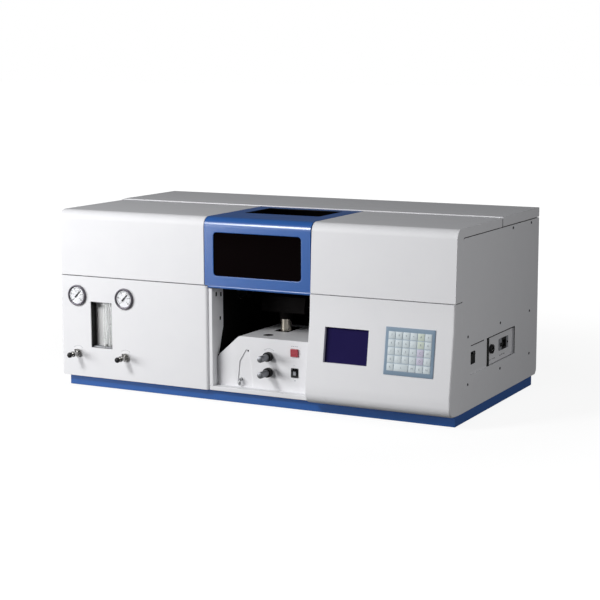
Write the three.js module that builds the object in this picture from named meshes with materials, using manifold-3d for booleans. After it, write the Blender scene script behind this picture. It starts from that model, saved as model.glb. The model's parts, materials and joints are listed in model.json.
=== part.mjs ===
// Flame atomic absorption spectrometer: bench instrument with a gas cabinet on the left, a burner bay
// under a lifting hood in the middle, and the monochromator and controls on the right.
// Millimetres, +X to the operator's right, +Y to the rear, +Z up. The floor is z = 0.
import * as THREE from 'three';
import { mergeVertices } from 'three/addons/utils/BufferGeometryUtils.js';
import Module from 'manifold-3d';

const wasm = await Module();
wasm.setup();

// Fits and facets
const gap = 0.3;
const running = 0.3;
const over = 1;
const sag = 0.15;
const fewestFacets = 10;
const mostFacets = 32;
const quarterTurn = Math.PI / 2;

// Cabinet
const width = 1020;
const depth = 520;
const height = 430;
const sheet = 2;
const seam = 2;
const cabinetBottom = 28;
const seamHeightShare = 0.6326;
const seamHeight = height * seamHeightShare;
const bezelDepth = 37;
const bezelWall = 3;
const left = -width / 2;
const right = width / 2;
const front = -depth / 2;
const rear = depth / 2;
const bezelRear = front + bezelDepth;

// Plinth, feet and deck
const plinthTop = 26;
const plinthInsetLeft = 12;
const plinthInsetRight = 6;
const plinthInsetFront = 17;
const plinthInsetRear = 16;
const footProud = 2;
const footRadius = 18;
const footTopRadius = 15;
const footEdge = 2;
const footInset = 45;
const deckThickness = 3;
const deckBottom = plinthTop + gap;
const deckTop = deckBottom + deckThickness;
const plinthLeft = left + plinthInsetLeft;
const plinthRight = right - plinthInsetRight;
const plinthFront = front + plinthInsetFront;
const plinthRear = rear - plinthInsetRear;
const innerLeft = left + sheet + gap;
const innerRight = right - sheet - gap;
const innerRear = rear - sheet - gap;

// Upper covers and their hinge
const rearStep = 2;
const coverTop = height - rearStep;
const coverWall = 2.5;
const coverRound = 22;
const coverInnerRound = 6;
const coverLip = 20;
const coverHem = 12;
const coverDepth = 275.5;
const coverSplit = front + coverDepth;
const lidGap = 1.5;
const knuckleRadius = 4;
const hingeClear = 0.5;
const rodRadius = 2;
const lugWidth = 6;
const lugDepth = 28;
const cheekBack = 6;
const hingeY = coverSplit - hingeClear - knuckleRadius;
const hingeZ = coverTop - knuckleRadius;
const lipBottom = coverTop - coverLip;
const panelTop = seamHeight - seam;
const sideTop = lipBottom - seam;

// Hood over the burner bay
const hoodCentreShare = 0.0299;
const hoodCentre = width * hoodCentreShare;
const hoodWidth = 271;
const hoodLeft = hoodCentre - hoodWidth / 2;
const hoodRight = hoodCentre + hoodWidth / 2;
const hoodBeadRadius = 3.5;
const hoodBeadRise = 1;
const windowWidth = 223.6;
const windowAboveSeam = 23;
const windowBelowTop = 34;
const windowBottom = seamHeight + windowAboveSeam;
const windowHeight = coverTop - windowBelowTop - windowBottom;
const windowRadius = 8;
const windowPane = 3;
const windowLap = 7;
const ventWidth = 195;
const ventLength = 124;
const ventFromSplit = 34;
const ventRadius = 6;

// Side and rear panels
const sideCornerRadius = 14;
const fanRadius = 42;
const fanFromRight = 210;
const fanX = right - fanFromRight;
const fanZ = 250;
const louvreWidth = 70;
const louvreHeight = 5;
const louvrePitch = 14;
const louvreCount = 6;
const louvreFromLeft = 230;
const louvreX = left + louvreFromLeft;
const louvreZ = 220;
const inletRadius = 7;
const inletReach = 18;
const inletSpacing = 134;
const inletZ = 120;

// Burner bay
const bayWallThickness = 8;
const bayWallInset = 8;
const bayWallLeft = hoodLeft + bayWallInset;
const bayWallSheet = 2;
const bayWallReturn = 20;
const bayFront = front + 4;
const bayWallClear = 1;
const bayWallTop = lipBottom - coverInnerRound - bayWallClear;
const bayHoodDrop = 8;
const bayHoodClear = seamHeight - bayHoodDrop;
const bayHoodSetback = 20;
const bayRightGap = 0.6;
const sillTop = 38;
const sillDepth = 20.7;
const frameThickness = 3;
const frameY = coverSplit + sheet + hingeClear;
const bayInnerLeft = bayWallLeft + bayWallThickness;
const bayRightWall = hoodRight + bayRightGap;

// Gas panel and its fittings
const gasPanelSeam = 2;
const gasPanelRight = bayWallLeft - gasPanelSeam;
const gasPanelSetback = 1;
const gasPanelY = front + gasPanelSetback;
const gasInset = 116.5;
const gasCentre = left + gasInset;
const gaugeSpacing = 134;
const gaugeBelowSeam = 48;
const gaugeZ = seamHeight - gaugeBelowSeam;
const gaugeRimRadius = 25;
const gaugeBodyRadius = 22;
const gaugeDepth = 24;
const gaugeProud = 5.5;
const gaugeRimEdge = 1;
const gaugeFaceDepth = 2.2;
const gaugeFaceRadius = 21;
const gaugeHoleClear = 0.6;
const needleLength = 17;
const needleTail = 6;
const needleWidth = 1.6;
const needleThickness = 0.8;
const needleHubRadius = 2.6;
const needleHubHeight = 1.6;
const needleAngle = Math.PI / 4;
const flowWidth = 60.5;
const flowHeight = 111;
const flowBelowSeam = 116.5;
const flowZ = seamHeight - flowBelowSeam;
const flowWall = 5;
const flowDepth = 24;
const flowBack = 4;
const flowTubeRadius = 7.5;
const flowTubeBore = 3.5;
const flowTubeShift = 13;
const flowTubeSpacing = 17;
const flowTubeY = 14;
const floatRadius = 3;
const floatHeight = 8;
const floatTip = 1;
const floatTipLength = 2.5;
const valveSpacing = 136;
const valveZ = 84;
const valveNutRadius = 10;
const valveNutLength = 5;
const valveBodyRadius = 5.5;
const valveBodyLength = 24;
const valveCollarRadius = 7;
const valveCollarLength = 4;
const valveSpindleRadius = 2.5;
const valveSpindleEnd = 36;
const valveStub = 15;
const valveHoleClear = 0.5;
const valveKnobRadius = 6.5;
const valveKnobStart = 32;
const valveKnobEnd = 40;
const valveKnobEdge = 2;

// Control panel, display and keypad
const controlTopY = 3.5;
const controlSlopeTopY = 6;
const controlBulge = 27.3;
const controlSlopeTopZ = 215;
const controlSlopeBottomZ = 74;
const controlBottomRadius = 24;
const controlGap = 0.8;
const monoLowY = 3.2;
const monoHighY = 3.5;
const controlLeft = hoodRight + controlGap;
const controlMarginShares = [0.32, 0.345];
const displayZ = 163;
const displayWidth = 106;
const displayHeight = 78;
const displayRim = 7;
const displayRecess = 8;
const displayDepth = 14;
const keypadZ = 162.6;
const keypadWidth = 115;
const keypadHeight = 103;
const keypadThickness = 1.2;
const keyColumns = 6;
const keyRows = 5;
const keyPitchX = 17;
const keyPitchZ = 17.2;
const keyWidth = 15.2;
const keyHeight = 15;
const keyRise = 0.8;
const keySink = 0.2;
const wideKeyColumn = 1;
const controlMargin = right - controlLeft - displayWidth - keypadWidth;
const displayX = controlLeft + controlMargin * controlMarginShares[0] + displayWidth / 2;
const keypadX = right - controlMargin * controlMarginShares[1] - keypadWidth / 2;

// Service plate in the right side panel
const serviceInset = 51;
const serviceLength = 278;
const serviceFront = bezelRear + serviceInset;
const serviceRear = serviceFront + serviceLength;
const serviceBottom = 104;
const serviceTop = 169;
const serviceSheet = 1.5;
const serviceLap = 4;
const serviceStep = 112;
const serviceSplit = serviceFront + serviceStep;
const serviceDeep = 8;
const socketFromFront = 142;
const socketY = serviceFront + socketFromFront;
const socketZ = 137;
const socketRadius = 10;
const socketBore = 7;
const socketProud = 5;
const socketDepth = 4;
const mainsRockerFromFront = 14.5;
const mainsRockerY = serviceFront + mainsRockerFromFront;
const mainsRockerZ = 140;
const mainsRockerWidth = 20;
const mainsRockerHeight = 21;
const mainsInletFromRear = 58.5;
const mainsInletY = serviceRear - mainsInletFromRear;
const mainsInletZ = 137.5;
const mainsFlangeWidth = 56;
const mainsFlangeHeight = 27;
const mainsFlangeThickness = 2.5;
const mainsBodyWidth = 30;
const mainsBodyHeight = 21;
const mainsBodyDepth = 18;
const mainsCavityWidth = 24.4;
const mainsCavityHeight = 16.4;
const mainsCavityDepth = 14;

// Beam and burner
const beamBelowSeam = 27;
const beamZ = seamHeight - beamBelowSeam;
const burnerX = hoodCentre;
const burnerFromFront = 139;
const burnerY = front + burnerFromFront;

// Burner cover and its controls, their heights as shares of the cover's height
const coverFaceInset = 25;
const coverFaceY = front + coverFaceInset;
const burnerCoverLength = 190;
const burnerCoverTopShare = 0.6367;
const burnerCoverTop = beamZ * burnerCoverTopShare;
const burnerCoverWall = 3;
const burnerCoverSideGap = 2;
const burnerCoverShoulderShare = 0.6795;
const burnerCoverShoulderZ = burnerCoverTop * burnerCoverShoulderShare;
const burnerCoverShoulderX = 56;
const burnerCoverRound = 14;
const nicheTopShift = 7;
const nicheTopShare = 0.8462;
const nicheTopZ = burnerCoverTop * nicheTopShare;
const nicheWidth = 40;
const nicheBottomShare = 0.2692;
const nicheBottomZ = burnerCoverTop * nicheBottomShare;
const nicheShoulderShare = 0.6282;
const nicheShoulderZ = burnerCoverTop * nicheShoulderShare;
const nicheShoulderWidth = 28;
const nicheDepth = 2;
const nicheShift = 45.5;
const nicheCentre = burnerX - nicheShift;
const nicheTopX = nicheCentre + nicheTopShift;
const nicheRound = 4;
const nicheHoleRadius = 2.5;
const nicheHoleDrop = 9;
const neckOpeningWidth = 38;
const neckOpeningLength = 74;
const neckOpeningShift = 2.5;
const neckOpeningSetback = 15;
const neckOpeningX = burnerX - neckOpeningShift;
const neckOpeningY = burnerY + neckOpeningSetback;
const sightHoleShift = 7;
const sightHoleFromFace = 41;
const sightHoleX = burnerX - sightHoleShift;
const sightHoleY = coverFaceY + sightHoleFromFace;
const sightHoleRadius = 12;
const drainShift = 56.5;
const drainX = burnerX - drainShift;
const drainShare = 0.359;
const drainZ = burnerCoverTop * drainShare;
const drainRadius = 3.5;
const drainReach = 7;
const drainDropShare = 0.7222;
const drainDrop = (drainZ - sillTop) * drainDropShare;
const drainTail = 6;
const igniterShift = 82.5;
const igniterX = burnerX + igniterShift;
const igniterShare = 0.8269;
const igniterZ = burnerCoverTop * igniterShare;
const igniterWidth = 18.4;
const igniterHeight = 17.6;
const igniterProud = 4;
const igniterDepth = 10;
const igniterStemRadius = 3;
const igniterStemLength = 7;
const buttonClear = 0.4;
const flameRockerX = igniterX;
const flameRockerShare = 0.532;
const flameRockerZ = burnerCoverTop * flameRockerShare;
const flameRockerWidth = 12.4;
const flameRockerHeight = 16.4;
const rockerCrest = 1.2;
const rockerEnd = 3.2;
const rockerDepth = 9;
const rockerFoot = 3;
const rockerPivotDepth = 3;
const rockerTilt = Math.PI / 24;
const rockerClear = 0.7;
const knobShift = 17;
const knobX = burnerX + knobShift;
const traverseKnobShare = 0.7404;
const traverseKnobZ = burnerCoverTop * traverseKnobShare;
const heightKnobShare = 0.5077;
const heightKnobZ = burnerCoverTop * heightKnobShare;
const knobCollarRadius = 11;
const knobCollarStart = 0.8;
const knobCollarEnd = 14;
const knobRadius = 7.5;
const knobEnd = 44;
const knobEdge = 1;
const knobShaftRadius = 3;
const knobShaftEnd = 76.5;

// Burner on its slides
const carriageHalfWidth = 50;
const carriageFront = 59;
const carriageRear = 50;
const carriageThickness = 8;
const carriagePlateY = 51;
const carriagePlateThickness = 8;
const carriagePlateWidth = 24;
const carriagePlateMargin = 8.5;
const carriagePlateTop = traverseKnobZ + carriagePlateMargin;
const postRadius = 5;
const postSpacing = 84;
const postY = 38;
const chamberRadius = 26;
const chamberHalfLength = 36;
const chamberShare = 0.641;
const chamberZ = burnerCoverTop * chamberShare;
const postRise = 24;
const postTop = chamberZ + postRise;
const chamberBore = 21.7;
const chamberEnd = 8;
const chamberBossRadius = 15;
const chamberBossRise = 32;
const chamberBossTop = chamberZ + chamberBossRise;
const bracketFront = 20;
const bracketRear = 48;
const bracketHalfWidth = 52;
const bracketHeight = 16;
const neckRadius = 13;
const neckBore = 6;
const neckFlangeRadius = 16;
const neckFlangeHeight = 3.7;
const headBelowBeam = 9;
const headTop = beamZ - headBelowBeam;
const headHeight = 52;
const neckShoulderZ = headTop - headHeight;
const neckStubRadius = 8;
const neckStubLength = 10;
const neckTop = neckShoulderZ + neckStubLength;
const headSocketRadius = 15;
const headSocketDepth = 11;
const headSocketHeight = 22;
const headSocketTop = neckShoulderZ + headSocketHeight;
const headSocketBoreTop = neckShoulderZ + headSocketDepth;
const headLength = 112;
const headBaseRise = 16;
const headWaistRise = 30;
const headBaseZ = neckShoulderZ + headBaseRise;
const headWaistZ = neckShoulderZ + headWaistRise;
const headBaseHalf = 15;
const headTopHalf = 9;
const headSlotLength = 100;
const headSlotWidth = 0.8;
const headSlotDepth = 30;
const plugLength = 12;
const plugClear = 0.3;
const nebulizerFlangeRadius = 25;
const nebulizerFlangeLength = 5.7;
const nebulizerBodyRadius = 10;
const nebulizerBodyLength = 24;
const nebulizerTipRadius = 3;
const nebulizerTipLength = 10;

// Lens tubes, lamps and monochromator
const lensRadius = 18;
const lensBore = 12;
const lensFlangeRadius = 23;
const lensFlange = 4;
const lensReach = 24;
const lensTail = 28;
const turretFromBay = 237;
const turretX = bayWallLeft - turretFromBay;
const turretArm = 45;
const turretRadius = 72;
const turretThickness = 8;
const turretHubRadius = 14;
const turretHubLength = 3.7;
const turretShaftRadius = 6;
const turretShaftLength = 26;
const turretPlaces = 4;
const lampBaseRadius = 15;
const lampBaseTail = 7;
const lampBaseLength = 23;
const lampRadius = 19;
const lampTubeEnd = 134;
const lampNeckRadius = 16;
const lampEnd = 146;
const lampShoulder = 4;
const bracketPlate = 8;
const bracketPlateHalf = 40;
const bracketFootHalf = 60;
const bracketFootLength = 48;
const bracketFootThickness = 6;
const bearingRadius = 16;
const bearingLength = 6;
const bracketAboveAxis = 34;
const opticsFromBay = 23.4;
const opticsFromRight = 15;
const opticsFromBezel = 23;
const opticsFromRear = 20;
const opticsBelowCover = 33;
const opticsLeft = bayRightWall + opticsFromBay;
const opticsRight = right - opticsFromRight;
const opticsFront = bezelRear + opticsFromBezel;
const opticsRear = rear - opticsFromRear;
const opticsBottom = 150;
const opticsTop = coverTop - opticsBelowCover;
const opticsWall = 5;
const opticsFloor = 6;
const opticsLegRadius = 9;
const opticsLegInset = 30;
const slitRadius = 8;
const detectorRadius = 22;
const detectorLength = 70;
const detectorFromFrame = 82;
const detectorY = frameY + detectorFromFrame;
const gratingBehindMiddle = 40;
const gratingX = (opticsLeft + opticsRight) / 2;
const gratingY = (opticsFront + opticsRear) / 2 + gratingBehindMiddle;
const gratingShaftRadius = 5;
const gratingShaftDrop = 10;
const gratingTableRadius = 38;
const gratingTableThickness = 8;
const gratingWidth = 60;
const gratingHeight = 60;
const gratingThickness = 12;
const boardInsetLeft = 10;
const boardInsetRight = 25;
const boardFromBezel = 10;
const boardLeft = opticsLeft + boardInsetLeft;
const boardRight = opticsRight - boardInsetRight;
const boardY = bezelRear + boardFromBezel;
const boardThickness = 2;
const boardTop = 140;
const chipHeight = 4;
const chipSize = 30;
const chipPitchShare = 0.2222;
const chipPitch = (boardRight - boardLeft) * chipPitchShare;
const chipCount = 4;
const chipZ = 90;
const transformerFromRight = 120;
const transformerFromRear = 140;
const transformerX = opticsRight - transformerFromRight;
const transformerY = opticsRear - transformerFromRear;
const transformerCoreWidth = 90;
const transformerCoreDepth = 45;
const transformerHeight = 75;
const transformerCoilWidth = 56;
const transformerCoilDepth = 80;
const transformerCoilInset = 10;

// Finishes
const whitePaint = { color: '#eeeef0', roughness: 0.45, metalness: 0 };
const greyPaint = { color: '#b9bcbf', roughness: 0.5, metalness: 0 };
const blackPaint = { color: '#1b1716', roughness: 0.65, metalness: 0 };
const bluePaint = { color: '#2f62a8', roughness: 0.35, metalness: 0 };
const whiteMoulding = { color: '#ececee', roughness: 0.4, metalness: 0 };
const blackMoulding = { color: '#18181a', roughness: 0.45, metalness: 0 };
const redMoulding = { color: '#b03a44', roughness: 0.35, metalness: 0 };
const keypadFilm = { color: '#8fa9bc', roughness: 0.5, metalness: 0 };
const darkRubber = { color: '#1b1b1c', roughness: 0.9, metalness: 0 };
const brightSteel = { color: '#c9c9cb', roughness: 0.25, metalness: 1 };
const plainAluminium = { color: '#b8babd', roughness: 0.4, metalness: 1 };
const darkTitanium = { color: '#5a5650', roughness: 0.5, metalness: 1 };
const blackCasting = { color: '#26272a', roughness: 0.7, metalness: 0.2 };
const tintedGlass = { color: '#120808', roughness: 0.08, metalness: 0 };
const clearGlass = { color: '#dfe6e8', roughness: 0.05, metalness: 0 };
const dialWhite = { color: '#c3c4c6', roughness: 0.35, metalness: 0.6 };
const greenBoard = { color: '#1f5a3a', roughness: 0.6, metalness: 0 };
const indigoScreen = { color: '#241f48', roughness: 0.2, metalness: 0 };

// Solid from a three.js geometry, with its shared vertices merged and empty triangles dropped
function solid(geometry) {
  const bare = geometry.clone();
  bare.deleteAttribute('normal');
  bare.deleteAttribute('uv');
  const merged = mergeVertices(bare);
  const index = merged.index.array;
  const triangles = [];
  for (let i = 0; i < index.length; i += 3) {
    const [a, b, c] = [index[i], index[i + 1], index[i + 2]];
    if (a !== b && b !== c && c !== a) triangles.push(a, b, c);
  }
  const vertProperties = new Float32Array(merged.attributes.position.array);
  const triVerts = new Uint32Array(triangles);
  const body = new wasm.Manifold(new wasm.Mesh({ numProp: 3, vertProperties, triVerts }));
  if (body.volume() > 0) return body;
  const flipped = triVerts.map((vertex, i) => triVerts[i % 3 === 1 ? i + 1 : i % 3 === 2 ? i - 1 : i]);
  return new wasm.Manifold(new wasm.Mesh({ numProp: 3, vertProperties, triVerts: flipped }));
}

// Geometry of a finished solid
function meshOf(body) {
  const { vertProperties, triVerts } = body.getMesh();
  const geometry = new THREE.BufferGeometry();
  geometry.setAttribute('position', new THREE.BufferAttribute(new Float32Array(vertProperties), 3));
  geometry.setIndex(new THREE.BufferAttribute(new Uint32Array(triVerts), 1));
  geometry.computeVertexNormals();
  return geometry;
}

function join(first, ...others) {
  return others.reduce((whole, next) => whole.add(next), first);
}

function cut(first, ...others) {
  return others.reduce((whole, next) => whole.subtract(next), first);
}

// Facet count that keeps a round within the chord sag
function facets(radius) {
  const exact = Math.PI / Math.acos(1 - Math.min(sag / radius, 0.5));
  return THREE.MathUtils.clamp(2 * Math.ceil(exact / 2), fewestFacets, mostFacets);
}

// Box between two limits along each axis
function block([x0, x1], [y0, y1], [z0, z1]) {
  const box = new THREE.BoxGeometry(x1 - x0, y1 - y0, z1 - z0);
  box.translate((x0 + x1) / 2, (y0 + y1) / 2, (z0 + z1) / 2);
  return solid(box);
}

// Closed outline from corners [u, v, radius], each round an arc
function outline(corners) {
  const shape = new THREE.Shape();
  corners.forEach(([u, v, radius = 0], i) => {
    const corner = new THREE.Vector2(u, v);
    if (!radius) {
      if (i) shape.lineTo(u, v);
      else shape.moveTo(u, v);
      return;
    }
    const before = corners[(i + corners.length - 1) % corners.length];
    const after = corners[(i + 1) % corners.length];
    const back = new THREE.Vector2(before[0], before[1]).sub(corner).normalize();
    const ahead = new THREE.Vector2(after[0], after[1]).sub(corner).normalize();
    const half = Math.acos(THREE.MathUtils.clamp(back.dot(ahead), -1, 1)) / 2;
    const centre = back.clone().add(ahead).normalize().multiplyScalar(radius / Math.sin(half)).add(corner);
    const start = back.clone().multiplyScalar(radius / Math.tan(half)).add(corner).sub(centre);
    const end = ahead.clone().multiplyScalar(radius / Math.tan(half)).add(corner).sub(centre);
    const clockwise = back.cross(ahead) > 0;
    const from = centre.clone().add(start);
    if (i) shape.lineTo(from.x, from.y);
    else shape.moveTo(from.x, from.y);
    const turn = Math.PI - 2 * half;
    const steps = Math.max(2, Math.round(facets(radius) * turn / (2 * Math.PI)));
    for (let step = 1; step <= steps; step += 1) {
      const swing = (clockwise ? -1 : 1) * turn * step / steps;
      const point = step === steps ? end : start.clone().rotateAround(new THREE.Vector2(), swing);
      shape.lineTo(centre.x + point.x, centre.y + point.y);
    }
  });
  return shape;
}

// Outline extruded along one axis: [y, z] corners along x, [x, z] along y and [x, y] along z
function extruded(axis, corners, [from, to]) {
  const body = new THREE.ExtrudeGeometry(outline(corners), { depth: to - from, bevelEnabled: false });
  if (axis === 'x') {
    const turn = new THREE.Matrix4().makeBasis(
      new THREE.Vector3(0, 1, 0), new THREE.Vector3(0, 0, 1), new THREE.Vector3(1, 0, 0));
    body.applyMatrix4(turn).translate(from, 0, 0);
  } else if (axis === 'y') {
    body.rotateX(quarterTurn).translate(0, to, 0);
  } else {
    body.translate(0, 0, from);
  }
  return solid(body);
}

// Corners of an upright rectangle with rounded corners
function rectangle([u0, u1], [v0, v1], radius = 0) {
  return [[u0, v0, radius], [u1, v0, radius], [u1, v1, radius], [u0, v1, radius]];
}

// Turns a solid made along +Y round its centre line so that it lies along the named axis
function alongAxis(geometry, axis, u, v) {
  if (axis === 'x') return geometry.rotateZ(-quarterTurn).translate(0, u, v);
  if (axis === 'y') return geometry.translate(u, 0, v);
  return geometry.rotateX(quarterTurn).translate(u, v, 0);
}

// Turned solid from [position, radius] steps along an axis through [u, v], from axis to axis
function turned(axis, steps, [u, v] = [0, 0]) {
  const most = Math.max(...steps.map(([, radius]) => radius));
  const points = steps.map(([position, radius]) => new THREE.Vector2(radius, position));
  const lathe = new THREE.LatheGeometry(points, facets(most));
  return solid(alongAxis(lathe, axis, u, v));
}

// Plain round bar along an axis through [u, v]
function bar(axis, radius, [from, to], [u, v] = [0, 0]) {
  return turned(axis, [[from, 0], [from, radius], [to, radius], [to, 0]], [u, v]);
}

// Names a solid, gives it its finish and places it in a group
function add(parent, name, body, finish, place = [0, 0, 0]) {
  const mesh = new THREE.Mesh(meshOf(body), new THREE.MeshStandardMaterial(finish));
  mesh.name = name;
  mesh.position.set(...place);
  parent.add(mesh);
  return mesh;
}

function group(parent, place = [0, 0, 0]) {
  const made = new THREE.Group();
  made.position.set(...place);
  parent.add(made);
  return made;
}

// Side view of an upper cover: its front between the low and high edges, its top down to a band
function coverOutline(low, high, back, [innerLow, innerHigh], topBand, innerRound) {
  return [
    [low, seamHeight],
    [high, coverTop, coverRound],
    [back, coverTop],
    [back, coverTop - topBand],
    [innerHigh, coverTop - topBand, innerRound],
    [innerLow, seamHeight],
  ];
}

// Shell of an upper cover with a cheek at each end
function coverShell(low, high, back, [x0, x1]) {
  const inside = [low + coverWall, high + coverWall];
  const shell = coverOutline(low, high, back, inside, coverWall, coverRound - coverWall);
  const cheekInside = [bezelRear, bezelRear];
  const cheek = coverOutline(low, high, back - cheekBack, cheekInside, coverLip, coverInnerRound);
  return join(
    extruded('x', shell, [x0, x1]),
    extruded('x', cheek, [x0, x0 + coverWall]),
    extruded('x', cheek, [x1 - coverWall, x1]),
    block([x0, x1], [low, low + coverHem], [seamHeight, seamHeight + coverWall]));
}

// Hinge lugs stand at the left wall, between the two lids and at the hood's right edge
const lugStarts = [innerLeft, hoodLeft - (lidGap + lugWidth) / 2, hoodRight - lugWidth];

// Rolled knuckle of a lid, bored for the rod, with room for the lugs
function hinged(shell, [x0, x1]) {
  const knuckle = bar('x', knuckleRadius, [x0, x1], [hingeY, hingeZ]);
  const bore = bar('x', rodRadius + running, [x0 - over, x1 + over], [hingeY, hingeZ]);
  const notches = lugStarts.map((start) => block(
    [start - 2 * running, start + lugWidth + 2 * running],
    [hingeY - knuckleRadius - running, coverSplit],
    [hingeZ - lugDepth, height]));
  return cut(join(shell, knuckle), bore, ...notches);
}

function buildBase(cabinet) {
  const plinth = cut(
    block([plinthLeft, plinthRight], [plinthFront, plinthRear], [footProud, plinthTop]),
    block(
      [plinthLeft + sheet, plinthRight - sheet],
      [plinthFront + sheet, plinthRear - sheet],
      [footProud - over, plinthTop - sheet]));
  add(cabinet, 'plinth', plinth, bluePaint);
  const footTop = plinthTop - sheet - gap;
  const foot = turned('z', [
    [0, 0], [0, footRadius - footEdge], [footEdge, footRadius], [footTop, footTopRadius], [footTop, 0]]);
  const feet = [
    ['foot_front_left', plinthLeft + footInset, plinthFront + footInset],
    ['foot_front_right', plinthRight - footInset, plinthFront + footInset],
    ['foot_rear_left', plinthLeft + footInset, plinthRear - footInset],
    ['foot_rear_right', plinthRight - footInset, plinthRear - footInset],
  ];
  for (const [name, x, y] of feet) add(cabinet, name, foot, darkRubber, [x, y, 0]);
  const deck = block([innerLeft, innerRight], [bezelRear + gap, innerRear], [deckBottom, deckTop]);
  add(cabinet, 'base_deck', deck, greyPaint);
}

function buildCase(cabinet) {
  const side = [
    [bezelRear + gap, cabinetBottom],
    [rear, cabinetBottom, sideCornerRadius],
    [rear, sideTop],
    [bezelRear + gap, sideTop, coverInnerRound],
  ];
  add(cabinet, 'left_side_panel', extruded('x', side, [left, left + sheet]), whitePaint);
  const service = block(
    [right - sheet - over, right + over], [serviceFront, serviceRear], [serviceBottom, serviceTop]);
  const rightPanel = cut(extruded('x', side, [right - sheet, right]), service);
  add(cabinet, 'right_side_panel', rightPanel, whitePaint);

  let back = block([innerLeft, innerRight], [rear - sheet, rear], [cabinetBottom, sideTop]);
  back = cut(back, bar('y', fanRadius, [rear - sheet - over, rear + over], [fanX, fanZ]));
  for (let row = 0; row < louvreCount; row += 1) {
    const z = louvreZ + row * louvrePitch;
    const slot = block(
      [louvreX - louvreWidth / 2, louvreX + louvreWidth / 2],
      [rear - sheet - over, rear + over],
      [z, z + louvreHeight]);
    back = cut(back, slot);
  }
  for (const side of [-1, 0, 1]) {
    const x = gasCentre + side * inletSpacing / 2;
    back = join(back, bar('y', inletRadius, [rear - sheet, rear + inletReach], [x, inletZ]));
  }
  add(cabinet, 'rear_panel', back, whitePaint);

  const top = cut(
    block([left, right], [coverSplit, rear], [lipBottom, height]),
    block(
      [left + sheet, right - sheet], [coverSplit + sheet, rear - sheet], [lipBottom - over, height - sheet]));
  add(cabinet, 'rear_top_cover', top, whitePaint);

  const frameRear = frameY + frameThickness;
  let frame = block(
    [innerLeft, bayRightWall + bayWallSheet], [frameY, frameRear], [deckTop + gap, height - sheet - gap]);
  const lugFoot = hingeZ - lugDepth;
  const lugFront = hingeY - knuckleRadius;
  const lugBack = hingeY + knuckleRadius;
  const underLip = lipBottom - seam;
  const lug = [
    [lugFront, lugFoot],
    [frameY + over, lugFoot],
    [frameY + over, underLip],
    [lugBack, underLip],
    [lugBack, coverTop, knuckleRadius],
    [lugFront, coverTop, knuckleRadius],
  ];
  for (const start of lugStarts) frame = join(frame, extruded('x', lug, [start, start + lugWidth]));
  const rodEnd = lugStarts[2] + lugWidth;
  frame = cut(frame, bar('x', rodRadius + running, [innerLeft - over, rodEnd + over], [hingeY, hingeZ]));
  add(cabinet, 'cross_frame', frame, blackPaint);
  const rod = bar('x', rodRadius, [innerLeft, rodEnd]);
  add(cabinet, 'cover_hinge_rod', rod, brightSteel, [0, hingeY, hingeZ]);
}

function buildCovers(cabinet) {
  const lampSpan = [left, hoodLeft - lidGap];
  const lampKnuckle = [lugStarts[0] + lugWidth + running, lugStarts[1] - running];
  const lampShell = coverShell(front, front, hingeY, lampSpan);
  add(cabinet, 'lamp_cover', hinged(lampShell, lampKnuckle), whitePaint);

  const hoodSpan = [hoodLeft, hoodRight];
  const hoodKnuckle = [lugStarts[1] + lugWidth + running, lugStarts[2] - running];
  const windowSpan = [hoodCentre - windowWidth / 2, hoodCentre + windowWidth / 2];
  const windowRise = [windowBottom, windowBottom + windowHeight];
  const ventRear = coverSplit - ventFromSplit;
  const beadZ = seamHeight + hoodBeadRise - hoodBeadRadius;
  const hoodShell = join(
    coverShell(front, front, hingeY, hoodSpan),
    bar('x', hoodBeadRadius, [gasPanelRight + seam, hoodRight], [front + hoodBeadRadius, beadZ]));
  const ventSpan = [hoodCentre - ventWidth / 2, hoodCentre + ventWidth / 2];
  const vent = rectangle(ventSpan, [ventRear - ventLength, ventRear], ventRadius);
  const hood = cut(
    hinged(hoodShell, hoodKnuckle),
    extruded('y', rectangle(windowSpan, windowRise, windowRadius), [front - over, front + coverWall + over]),
    extruded('z', vent, [coverTop - coverWall - over, coverTop + over]));
  add(cabinet, 'burner_hood', hood, bluePaint);
  const paneFront = front + coverWall + gap;
  const pane = block(
    [-windowWidth / 2 - windowLap, windowWidth / 2 + windowLap],
    [0, windowPane],
    [-windowHeight / 2 - windowLap, windowHeight / 2 + windowLap]);
  add(cabinet, 'hood_window', pane, tintedGlass, [hoodCentre, paneFront, windowBottom + windowHeight / 2]);

  const monoSpan = [hoodRight + lidGap, right];
  const mono = coverShell(front - monoLowY, front + monoHighY, coverSplit - gap, monoSpan);
  add(cabinet, 'monochromator_cover', mono, whitePaint);
}

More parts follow.
